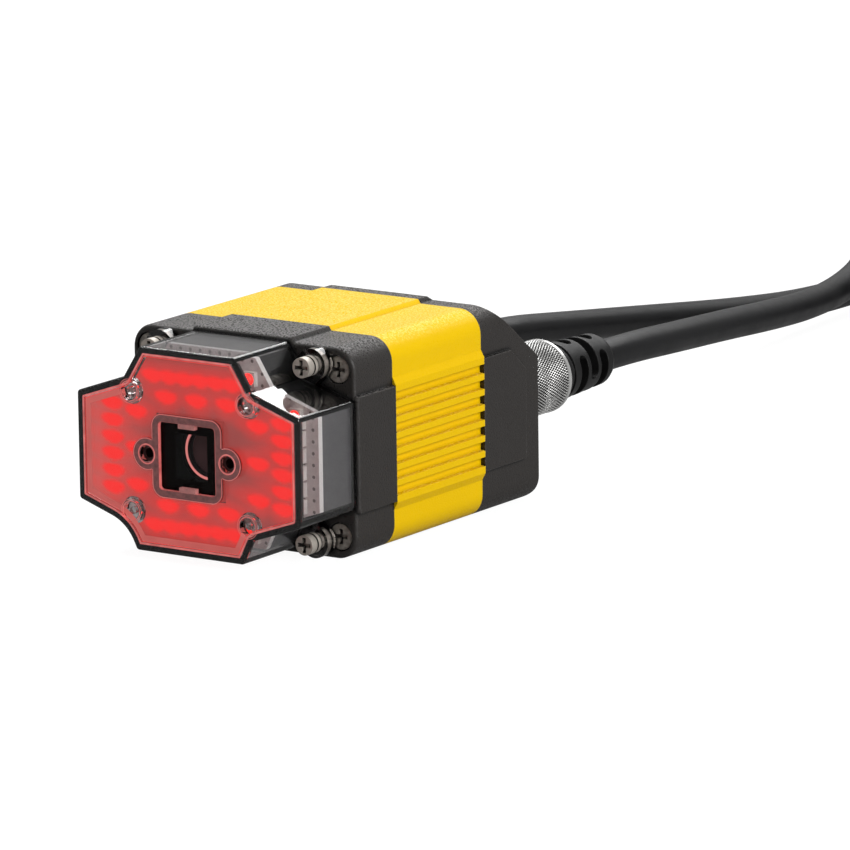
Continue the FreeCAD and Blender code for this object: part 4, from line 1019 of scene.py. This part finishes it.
@dataclass
class Hank:
    """Long tied turns of a cable: one row winds inwards, the next one outwards."""

    centre_x: float = 12.0
    near_y: float = 267.75
    straight: float = 72.0
    middle_radius: float = 26.0
    columns: int = 3
    pitch: float = 6.5
    floor_gap: float = 1.0
    arc_points: int = 6
    straight_points: tuple[float, ...] = (0.3, 0.7)

    def passes(self, level: int) -> list[Span]:
        """Radius and height of each turn.

        Args:
            level: 0 for the hank on the floor, 1 for the one on top of it.

        Returns:
            (radius, height) of the turns in winding order.
        """
        reach = (self.columns - 1) / 2
        radii = [self.middle_radius + (reach - k) * self.pitch for k in range(self.columns)]
        low = self.floor_gap + (2 * level + 0.5) * self.pitch
        return [(r, low) for r in radii] + [(r, low + self.pitch) for r in reversed(radii)]

    def points(self, level: int) -> list[Point]:
        """Control points of all turns, from the left side of the first to the right side of the last.

        Args:
            level: 0 for the hank on the floor, 1 for the one on top of it.

        Returns:
            Control points whose quadratic spline touches the turns.
        """
        turns = self.passes(level)
        found: list[Point] = []
        for k, (radius, height) in enumerate(turns):
            shares = self.straight_points if k else self.straight_points[1:]
            found += [(self.centre_x - radius, self.near_y + s * self.straight, height) for s in shares]
            found += self.arc(self.near_y + self.straight, 180.0, (radius, height), (radius, height))
            last = k == len(turns) - 1
            shares = self.straight_points[1:] if last else self.straight_points[::-1]
            found += [(self.centre_x + radius, self.near_y + s * self.straight, height) for s in shares]
            if not last:
                found += self.arc(self.near_y, 0.0, (radius, height), turns[k + 1])
        return found

    def arc(
        self, centre_y: float, start: float, first: Span, last: Span
    ) -> list[Point]:
        """Control points of a clockwise half turn.

        Args:
            centre_y: Centre of the half turn.
            start: Angle at which it starts, in degrees.
            first: Radius and height at its start.
            last: Radius and height at its end.

        Returns:
            Control points outside the arc, on the corners of the polygon round it.
        """
        step = 180.0 / self.arc_points
        corner = 1 / math.cos(math.radians(step / 2))
        found = []
        for k in range(self.arc_points):
            share = (k + 0.5) / self.arc_points
            radius = (first[0] + share * (last[0] - first[0])) * corner
            height = first[1] + share * (last[1] - first[1])
            angle = math.radians(start - (k + 0.5) * step)
            found.append((
                self.centre_x + radius * math.cos(angle), centre_y + radius * math.sin(angle), height
            ))
        return found


@dataclass
class Cable:
    """One cable from its plug to its far end, with the spare length in a hank."""

    line: str
    plug_x: float
    level: int
    route: list[Point]
    tail: list[Point]
    far_end: FarEnd
    end_nodes: tuple[str, ...]
    hank: Hank = field(default_factory=Hank)
    plug_end: float = 72.2
    plug_exit: float = 12.0
    diameter: float = 6.5
    length: float = 2000.0
    spline_order: int = 3
    steps_along: int = 6
    steps_round: int = 5

    def build(
        self, shop: Workshop, frame: dict, end_pieces: list[bpy.types.Object] | None = None
    ) -> bpy.types.Object:
        """Args:
            shop: Gives the jacket's material.
            frame: The loaded frame; not used.
            end_pieces: Pieces made here that are on the cable's far end; not used.

        Returns:
            The cable's curve object.
        """
        start = (self.plug_x, self.plug_end, AXIS_HEIGHT)
        out = (self.plug_x, self.plug_end + self.plug_exit, AXIS_HEIGHT)
        points = [start, out, *self.route, *self.hank.points(self.level), *self.tail]
        curve = bpy.data.curves.new(f"{self.line}_cord", "CURVE")
        curve.dimensions = "3D"
        spline = curve.splines.new("NURBS")
        spline.points.add(len(points) - 1)
        for spot, place in zip(spline.points, points):
            spot.co = (*(MM * value for value in place), 1.0)
        spline.order_u = self.spline_order
        spline.use_endpoint_u = True
        curve.bevel_depth = self.diameter * MM / 2
        curve.bevel_resolution = self.steps_round
        curve.resolution_u = self.steps_along
        curve.use_fill_caps = True
        cord = bpy.data.objects.new(f"{self.line}_cord", curve)
        bpy.context.collection.objects.link(cord)
        shop.dress(cord, CABLE_JACKET)
        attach(cord, READER)
        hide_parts(f"{self.line}_cable", f"{self.line}_cable_end", f"{self.line}_hank")
        return cord


POWER_CABLE = Cable(
    line="power", plug_x=15.8, level=1, far_end=FarEnd.STRIPPED_LEADS, end_nodes=("power_leads", "hank_ties"),
    route=[
        (14.6, 104.0, 19.4), (11.6, 128.0, 17.4), (7.6, 154.0, 14.7), (2.6, 178.0, 12.4),
        (-2.8, 199.0, 11.6), (-8.0, 216.0, 12.4), (-13.4, 231.0, 15.4), (-17.6, 245.0, 18.0),
        (-20.0, 261.0, 18.2), (-20.5, 276.0, 17.4), (-20.5, 289.0, 17.25),
    ],
    tail=[
        (44.5, 284.0, 23.75), (44.5, 268.0, 23.4), (43.8, 250.0, 20.4), (40.4, 232.0, 14.0),
        (35.6, 216.0, 7.4), (32.2, 201.0, 4.0), POWER_END,
    ],
)
NETWORK_CABLE = Cable(
    line="network", plug_x=-15.8, level=0, far_end=FarEnd.MODULAR_PLUG,
    end_nodes=("network_boot", "network_plug"),
    route=[
        (-15.7, 110.0, 17.4), (-16.0, 142.0, 13.2), (-16.6, 176.0, 8.6), (-18.0, 210.0, 4.8),
        (-20.0, 244.0, 3.8), (-20.5, 275.0, 4.25),
    ],
    tail=[
        (44.5, 284.0, 10.75), (44.6, 268.0, 10.4), (45.0, 251.0, 7.6), (45.2, 235.0, 4.8),
        NETWORK_END,
    ],
)


@dataclass
class LightHead:
    """The lit front: a frosted sheet with the LEDs' spots on it.

    Columns and rows are given by their distance from the lens axis, the count of their LEDs and the pitch. A
    spot is given by half its width and half its height, and an edge by the distances, in spots, at which its
    light starts and is full.
    """

    node: str = "light_diffuser"
    grid: float = 0.5
    outer_columns: tuple[float, int, float] = (20.0, 6, 3.32)
    inner_columns: tuple[float, int, float] = (14.3, 3, 7.25)
    outer_rows: tuple[float, int, float] = (14.7, 6, 3.7)
    inner_rows: tuple[float, int, float] = (10.7, 3, 7.2)
    spot_shift: Span = (1.5, 0.5)
    row_shift: float = -1.0
    spot: Span = (3.1, 1.62)
    spot_widening: float = 0.32
    spot_skew: float = 0.3
    spot_edge: Span = (1.2, 0.6)
    halo_edge: Span = (2.6, 0.9)
    halo_most: float = 0.4
    haze_from: float = -10.0
    haze_to: float = -26.0
    haze_most: float = 0.6

    def led_places(self) -> list[Span]:
        """Lists the LEDs' spots.

        Returns:
            Centres of the spots from the lens axis, across and up.
        """
        places = []
        for side in (-1, 1):
            for offset, count, pitch in (self.outer_columns, self.inner_columns):
                places += [(side * offset, (k - (count - 1) / 2) * pitch) for k in range(count)]
            for (offset, count, pitch), shift in ((self.outer_rows, self.row_shift), (self.inner_rows, 0.0)):
                places += [((k - (count - 1) / 2) * pitch + shift, side * offset) for k in range(count)]
        shift_x, shift_z = self.spot_shift
        return [(x + shift_x, z + shift_z) for x, z in places]

    def glow(self, across: float, up: float, places: list[Span]) -> float:
        """Brightness of one place on the sheet.

        Args:
            across: Place from the lens axis, to the right.
            up: Place from the lens axis, upwards.
            places: Centres of the LEDs.

        Returns:
            1 in a spot and 0 between them; a spot is wider at its top than at its bottom.
        """
        nearest = math.inf
        for led_x, led_z in places:
            rise = (up - led_z) / self.spot[1]
            held = max(-1.0, min(1.0, rise))
            width = self.spot[0] * (1 + self.spot_widening * held)
            nearest = min(nearest, math.hypot((across - led_x + self.spot_skew * held) / width, rise))
        core, halo = (self.soft(nearest, edge) for edge in (self.spot_edge, self.halo_edge))
        return max(core, self.halo_most * halo)

    @staticmethod
    def soft(distance: float, edge: Span) -> float:
        """Gives a soft step.

        Args:
            distance: Distance from the spot's centre.
            edge: Distances at which the step starts and is full.

        Returns:
            0 beyond the far end of the edge and 1 within its near end.
        """
        far, near = edge
        share = max(0.0, min(1.0, (far - distance) / (far - near)))
        return share * share * (3 - 2 * share)

    def build(self, shop: Workshop, frame: dict) -> bpy.types.Object:
        """Cuts a copy of the sheet into a grid that carries the light.

        Args:
            shop: Gives the sheet's material.
            frame: The loaded frame.

        Returns:
            The lit sheet.
        """
        form = merged_copy(frame["nodes"][self.node])
        low, high = (Vector(corner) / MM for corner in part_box(self.node))
        for axis in (0, 2):
            normal = Vector((axis == 0, 0, axis == 2))
            for k in range(1, int((high[axis] - low[axis]) / self.grid)):
                bmesh.ops.bisect_plane(
                    form, geom=[*form.verts, *form.edges, *form.faces],
                    plane_co=normal * (low[axis] + k * self.grid) * MM, plane_no=normal,
                )
        glow, haze = (form.verts.layers.float.new(name) for name in ("glow", "haze"))
        places = self.led_places()
        for vert in form.verts:
            across, up = vert.co.x / MM, vert.co.z / MM - AXIS_HEIGHT
            vert[glow] = self.glow(across, up, places)
            share = (across - self.haze_from) / (self.haze_to - self.haze_from)
            vert[haze] = self.haze_most * max(0.0, min(1.0, share))
        piece = shop.piece(form, "lit_diffuser", FROSTED, "frosted_plastic")
        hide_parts(self.node)
        return piece


@dataclass
class CoverEdges:
    """Lines and a frame in the clear cover, where its moulded edges carry the LEDs' light.

    Lines, rings and the border are given by their distance from an edge of the cover and their width, the
    lining by its distance and depth, and the mask by half its opening's width and height, and half its own.
    """

    node: str = "light_cover"
    face: float = -46.7
    collar_face: float = -47.1
    step: float = 0.2
    under: float = 0.08
    frame_under: float = 0.2
    lip: Span = (0.85, 0.42)
    lip_line: Span = (1.36, 0.14)
    border: Span = (1.5, 1.2)
    border_under: float = 0.3
    border_ends: Span = (-16.0, 13.0)
    mask: tuple[float, float, float] = (3.7, 4.5, 6.68)
    mask_place: float = -45.25
    collar_line: Span = (0.04, 0.16)
    cup_ring: Span = (0.28, 0.2)
    cup_line: Span = (0.6, 0.12)
    aimer_ring: Span = (0.4, 0.3)
    liner: Span = (0.04, 0.9)

    def flat_part(self, frame: dict, level: float) -> Form:
        """Copies the cover's faces that lie flat across the reader at one place.

        Args:
            frame: The loaded frame.
            level: Place of the faces along the reader.

        Returns:
            A mesh of these faces alone.
        """
        form = merged_copy(frame["nodes"][self.node])
        slack = 2 * MERGE_DISTANCE
        others = [f for f in form.faces if any(abs(v.co.y - level * MM) > slack for v in f.verts)]
        bmesh.ops.delete(form, geom=others, context="FACES")
        return form

    @staticmethod
    def loops(form: Form) -> list[list[Vector]]:
        """Follows the borders of a mesh.

        Args:
            form: The mesh.

        Returns:
            Points of each border, the widest border first.
        """
        left = {edge for edge in form.edges if edge.is_boundary}
        found = []
        while left:
            edge = left.pop()
            loop = list(edge.verts)
            while onward := [e for e in loop[-1].link_edges if e in left]:
                left.discard(onward[0])
                loop.append(onward[0].other_vert(loop[-1]))
            found.append([vert.co.copy() for vert in loop[:-1]])
        return sorted(found, key=lambda loop: min(point.x for point in loop) - max(point.x for point in loop))

    @staticmethod
    def widened(loop: list[Vector], distance: float) -> list[Vector]:
        """Moves the points of a round border away from its middle.

        Args:
            loop: Points of the border.
            distance: How far they move.

        Returns:
            The moved points.
        """
        middle = sum(loop, Vector()) / len(loop)
        return [point + (point - middle).normalized() * distance * MM for point in loop]

    def inset(self, loop: list[Vector], distance: float) -> list[Vector]:
        """Follows a border at one distance inside it.

        Args:
            loop: Points of the border.
            distance: Distance from the border.

        Returns:
            Points of the new line; corners narrower than the distance are left out.
        """
        sides = list(zip(loop, loop[1:] + loop[:1]))
        turn = math.copysign(1.0, sum(a.x * b.z - b.x * a.z for a, b in sides))
        least = distance * MM - MERGE_DISTANCE
        found = []
        for first, last in sides:
            span = last - first
            inwards = Vector((-span.z, 0.0, span.x)).normalized() * turn * distance * MM
            count = math.ceil(span.length / (self.step * MM))
            spots = [first + span * ((k + 0.5) / count) + inwards for k in range(count)]
            found += [spot for spot in spots if self.clearance(spot, sides) > least]
        return found

    @staticmethod
    def clearance(spot: Vector, sides: list[tuple[Vector, Vector]]) -> float:
        """Measures the room round a place.

        Args:
            spot: The place.
            sides: Sides of a border, as pairs of points.

        Returns:
            Distance from the place to the nearest side, in metres.
        """
        nearest = math.inf
        for first, last in sides:
            share = intersect_point_line(spot, first, last)[1]
            nearest = min(nearest, (first.lerp(last, max(0.0, min(1.0, share))) - spot).length)
        return nearest

    @staticmethod
    def between(form: Form, outer: list[Vector], inner: list[Vector], under: float) -> None:
        """Fills the band between two lines.

        Args:
            form: Mesh that gets the band.
            outer: Points of the outer line.
            inner: Points of the inner line.
            under: Depth of the band below the lines.
        """
        sunk = Vector((0.0, under * MM, 0.0))
        edges = [edge for loop in (outer, inner) for edge in closed_line(form, [p + sunk for p in loop])]
        bmesh.ops.triangle_fill(form, edges=edges, use_beauty=True, normal=(0.0, -1.0, 0.0))

    def strip(self, form: Form, loop: list[Vector], place: Span, under: float) -> None:
        """Lays a strip along the inside of a border.

        Args:
            form: Mesh that gets the strip.
            loop: Points of the border.
            place: Distance from the border to the strip, and the strip's width.
            under: Depth of the strip below the border.
        """
        self.between(form, self.inset(loop, place[0]), self.inset(loop, sum(place)), under)

    def ring(self, form: Form, loop: list[Vector], place: Span) -> None:
        """Lays a ring round a hole.

        Args:
            form: Mesh that gets the ring.
            loop: Points of the hole's border.
            place: Distance from the border to the ring's outside, and the ring's width.
        """
        outwards, width = place
        self.between(form, self.widened(loop, outwards), self.widened(loop, outwards - width), self.under)

    def lining(self, form: Form, loop: list[Vector]) -> None:
        """Lines the wall of the window's opening.

        Args:
            form: Mesh that gets the lining.
            loop: Points of the opening's border.
        """
        behind, depth = self.liner
        sunk = Vector((0.0, self.under * MM, 0.0))
        edges = closed_line(form, [point + sunk for point in self.widened(loop, behind)])
        made = bmesh.ops.extrude_edge_only(form, edges=edges)["geom"]
        moved = [item for item in made if isinstance(item, bmesh.types.BMVert)]
        bmesh.ops.translate(form, verts=moved, vec=(0.0, depth * MM, 0.0))

    def sheet_border(self, outline: list[Vector]) -> Form:
        """Lays the sheet's dim border along the cover's left and bottom.

        Args:
            outline: Points of the front face's border.

        Returns:
            The border.
        """
        form = bmesh.new()
        self.strip(form, outline, self.border, self.border_under)
        places = {face: face.calc_center_median() / MM for face in form.faces}
        left_end, bottom_end = self.border_ends
        others = [
            face for face, place in places.items()
            if place.x > (left_end if place.z > AXIS_HEIGHT else bottom_end)
        ]
        bmesh.ops.delete(form, geom=others, context="FACES")
        return form

    def pane_mask(self) -> Form:
        """Makes the dark printed frame on the back of the window pane.

        Returns:
            The frame.
        """
        half_x, half_z, outer = self.mask
        form = bmesh.new()
        edges = []
        for reach_x, reach_z in ((half_x, half_z), (outer, outer)):
            edges += closed_line(form, [
                Vector((x * reach_x * MM, self.mask_place * MM, (AXIS_HEIGHT + z * reach_z) * MM))
                for x, z in ((-1, -1), (1, -1), (1, 1), (-1, 1))
            ])
        bmesh.ops.bridge_loops(form, edges=edges)
        return form

    def build(self, shop: Workshop, frame: dict) -> list[bpy.types.Object]:
        """Makes the pink lines, the red line, the sheet's border and what frames the window.

        Args:
            shop: Gives the materials.
            frame: The loaded frame.

        Returns:
            The pieces.
        """
        front, collar = (self.flat_part(frame, level) for level in (self.face, self.collar_face))
        outline, _, *cups = self.loops(front)
        collar_edge, window, *aimer_holes = self.loops(collar)
        front.free()
        bmesh.ops.translate(collar, verts=collar.verts, vec=(0.0, self.frame_under * MM, 0.0))
        pink, red = bmesh.new(), bmesh.new()
        self.strip(pink, outline, self.lip, self.under)
        self.strip(red, outline, self.lip_line, self.under)
        self.strip(pink, collar_edge, self.collar_line, self.under)
        for place in (self.cup_ring, self.cup_line):
            for cup in cups:
                self.ring(pink, cup, place)
        for hole in aimer_holes:
            self.ring(pink, hole, self.aimer_ring)
        self.lining(pink, window)
        return [
            shop.piece(pink, "pink_cover_edges", PINK_EDGE, "frosted_plastic"),
            shop.piece(red, "red_cover_edge", RED_EDGE, "frosted_plastic"),
            shop.piece(self.sheet_border(outline), "sheet_border", DIM_EDGE, "frosted_plastic"),
            shop.piece(collar, "window_frame", PAINTED_LIGHT_FRAME, "frosted_plastic"),
            shop.piece(self.pane_mask(), "pane_mask", MASK_INK, "black_plastic"),
        ]


@dataclass
class ScrewShanks:
    """Bright shanks of the captive screws, as the clear lugs show them."""

    node: str = "cover_screws"
    head_radius: float = 2.0
    radius: float = 1.6
    lug_depth: float = 2.6
    thread_reach: float = 2.6
    margin: float = 0.1
    segments: int = 32

    def build(self, shop: Workshop) -> bpy.types.Object:
        """Puts one shank into each lug.

        Args:
            shop: Gives the steel.

        Returns:
            The shanks as one piece.
        """
        low, high = (Vector(corner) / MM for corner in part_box(self.node))
        length = self.lug_depth - 2 * self.margin
        middle = high.y - self.thread_reach - self.lug_depth / 2
        turn = Matrix.Rotation(math.pi / 2, 4, "X")
        form = bmesh.new()
        for x in (low.x + self.head_radius, high.x - self.head_radius):
            for z in (low.z + self.head_radius, high.z - self.head_radius):
                bmesh.ops.create_cone(
                    form, cap_ends=False, segments=self.segments, radius1=self.radius * MM,
                    radius2=self.radius * MM, depth=length * MM,
                    matrix=Matrix.Translation(Vector((x, middle, z)) * MM) @ turn,
                )
        for face in form.faces:
            face.smooth = True
        return shop.piece(form, "captive_screw_shanks", BRIGHT_STEEL, "bright_steel")


@dataclass
class Coupling:
    """Screw-on nut of one line: a diamond knurl between plain rims."""

    line: str
    bore: float = 6.08
    lip: float = 4.78
    lip_length: float = 2.5
    chamfer: float = 0.6
    rear_rim: float = 0.9
    rim_step: float = 0.1
    slack: float = 0.01
    knurl_pitch: float = 1.15
    knurl_depth: float = 0.45
    knurls: int = 78
    steps: int = 6

    def build(self, shop: Workshop) -> bpy.types.Object:
        """Turns the nut's section and presses the knurl into it.

        Args:
            shop: Gives the nut's material.

        Returns:
            The nut, riding on its own body.
        """
        low, high = (Vector(corner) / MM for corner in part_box(f"{self.line}_nut"))
        middle = (low + high) / 2
        radius = (high.z - low.z) / 2
        knurl_start, knurl_end = low.y + self.chamfer, high.y - self.chamfer - self.rear_rim
        count = round((knurl_end - knurl_start) / self.knurl_pitch) * self.steps
        section = [(self.bore, low.y), (radius - self.chamfer, low.y)]
        section += [
            (radius, knurl_start + (knurl_end - knurl_start) * k / count) for k in range(count + 1)
        ]
        section += [
            (radius, knurl_end + self.rim_step), (radius, high.y - self.chamfer),
            (radius - self.chamfer, high.y), (self.lip, high.y),
            (self.lip, high.y - self.lip_length), (self.bore, high.y - self.lip_length),
        ]
        form = bmesh.new()
        closed_line(form, [Vector((middle.x * MM, y * MM, (middle.z + r) * MM)) for r, y in section])
        bmesh.ops.spin(
            form, geom=[*form.verts, *form.edges], cent=middle * MM, axis=(0.0, 1.0, 0.0), angle=2 * math.pi,
            steps=self.knurls * self.steps, use_merge=True,
        )
        bmesh.ops.recalc_face_normals(form, faces=form.faces)
        self.press(form, middle, radius, knurl_start, knurl_end)
        nut = f"{self.line}_nut"
        piece = shop.piece(form, f"{self.line}_knurled_nut", KNURLED_NICKEL, "nickel", nut)
        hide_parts(nut)
        return piece

    def press(self, form: Form, middle: Vector, radius: float, start: float, end: float) -> None:
        """Moves the outer surface inwards along two crossing sets of grooves.

        Args:
            form: The turned nut.
            middle: Centre of the nut.
            radius: Its outer radius.
            start: Where the knurl starts along the nut.
            end: Where it ends.
        """
        depth = form.verts.layers.float.new("groove")
        for vert in form.verts:
            arm = Vector((vert.co.x / MM - middle.x, 0.0, vert.co.z / MM - middle.z))
            along = vert.co.y / MM
            if arm.length < radius - self.slack or not start <= along <= end + self.slack:
                continue
            round_share = math.atan2(arm.x, arm.z) / (2 * math.pi) * self.knurls
            length_share = (along - start) / self.knurl_pitch
            crossing = (round_share + length_share, round_share - length_share)
            vert[depth] = sum(abs(turn % 1.0 - 0.5) for turn in crossing)
            vert.co -= arm.normalized() * vert[depth] * self.knurl_depth * MM


@dataclass
class ModularPlug:
    """Gold blades in the slots of the network cable's plug."""

    start: Point = NETWORK_END
    forward: Point = (-0.04, -0.9992, 0.0)
    boot_length: float = 14.0
    plug_length: float = 21.5
    plug_height: float = 8.0
    count: int = 8
    pitch: float = 1.02
    blade: Point = (0.36, 5.6, 0.9)
    blade_inset: float = 0.2

    def build(self, shop: Workshop) -> bpy.types.Object:
        """Puts one blade into each slot.

        Args:
            shop: Gives the gold.

        Returns:
            The blades as one piece.
        """
        forward = Vector(self.forward)
        across = forward.cross((0.0, 0.0, 1.0)).normalized()
        up = across.cross(forward)
        reach = self.boot_length + self.plug_length - self.blade[1] / 2 - self.blade_inset
        level = -self.plug_height / 2 + self.blade[2] / 2 + self.blade_inset
        turn = Matrix((across, forward, up)).transposed().to_4x4()
        form = bmesh.new()
        for k in range(self.count):
            side = (k - (self.count - 1) / 2) * self.pitch
            place = Vector(self.start) + forward * reach + across * side + up * level
            size = Matrix.Diagonal((*(value * MM for value in self.blade), 1.0))
            bmesh.ops.create_cube(form, size=1.0, matrix=Matrix.Translation(place * MM) @ turn @ size)
        return shop.piece(form, "network_plug_blades", GOLD, "gold_contact")


def dress_nodes(shop: Workshop, frame: dict) -> None:
    """Puts a finish on every node of the frame.

    Args:
        shop: Gives the materials.
        frame: The loaded frame.
    """
    finishes = dict(NODE_FINISHES)
    for line in LINES:
        finishes.update({f"{line}_{piece}": finish for piece, finish in LINE_FINISHES.items()})
    for name, node in frame["nodes"].items():
        shop.dress(node, finishes[name])


def main() -> None:
    """Loads the frame, dresses it and builds every piece."""
    logging.basicConfig(level=logging.INFO)
    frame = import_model()
    shop = Workshop()
    Studio().build()
    dress_nodes(shop, frame)
    LOG.info("finishes on %d nodes", len(frame["nodes"]))
    blades = ModularPlug().build(shop)
    pieces = [blades, LightHead().build(shop, frame), *CoverEdges().build(shop, frame)]
    pieces += [ScrewShanks().build(shop), *(Coupling(line).build(shop) for line in LINES)]
    pieces += [POWER_CABLE.build(shop, frame), NETWORK_CABLE.build(shop, frame, [blades])]
    for piece in pieces:
        LOG.info("piece %s", piece.name)


if __name__ == "__main__":
    main()
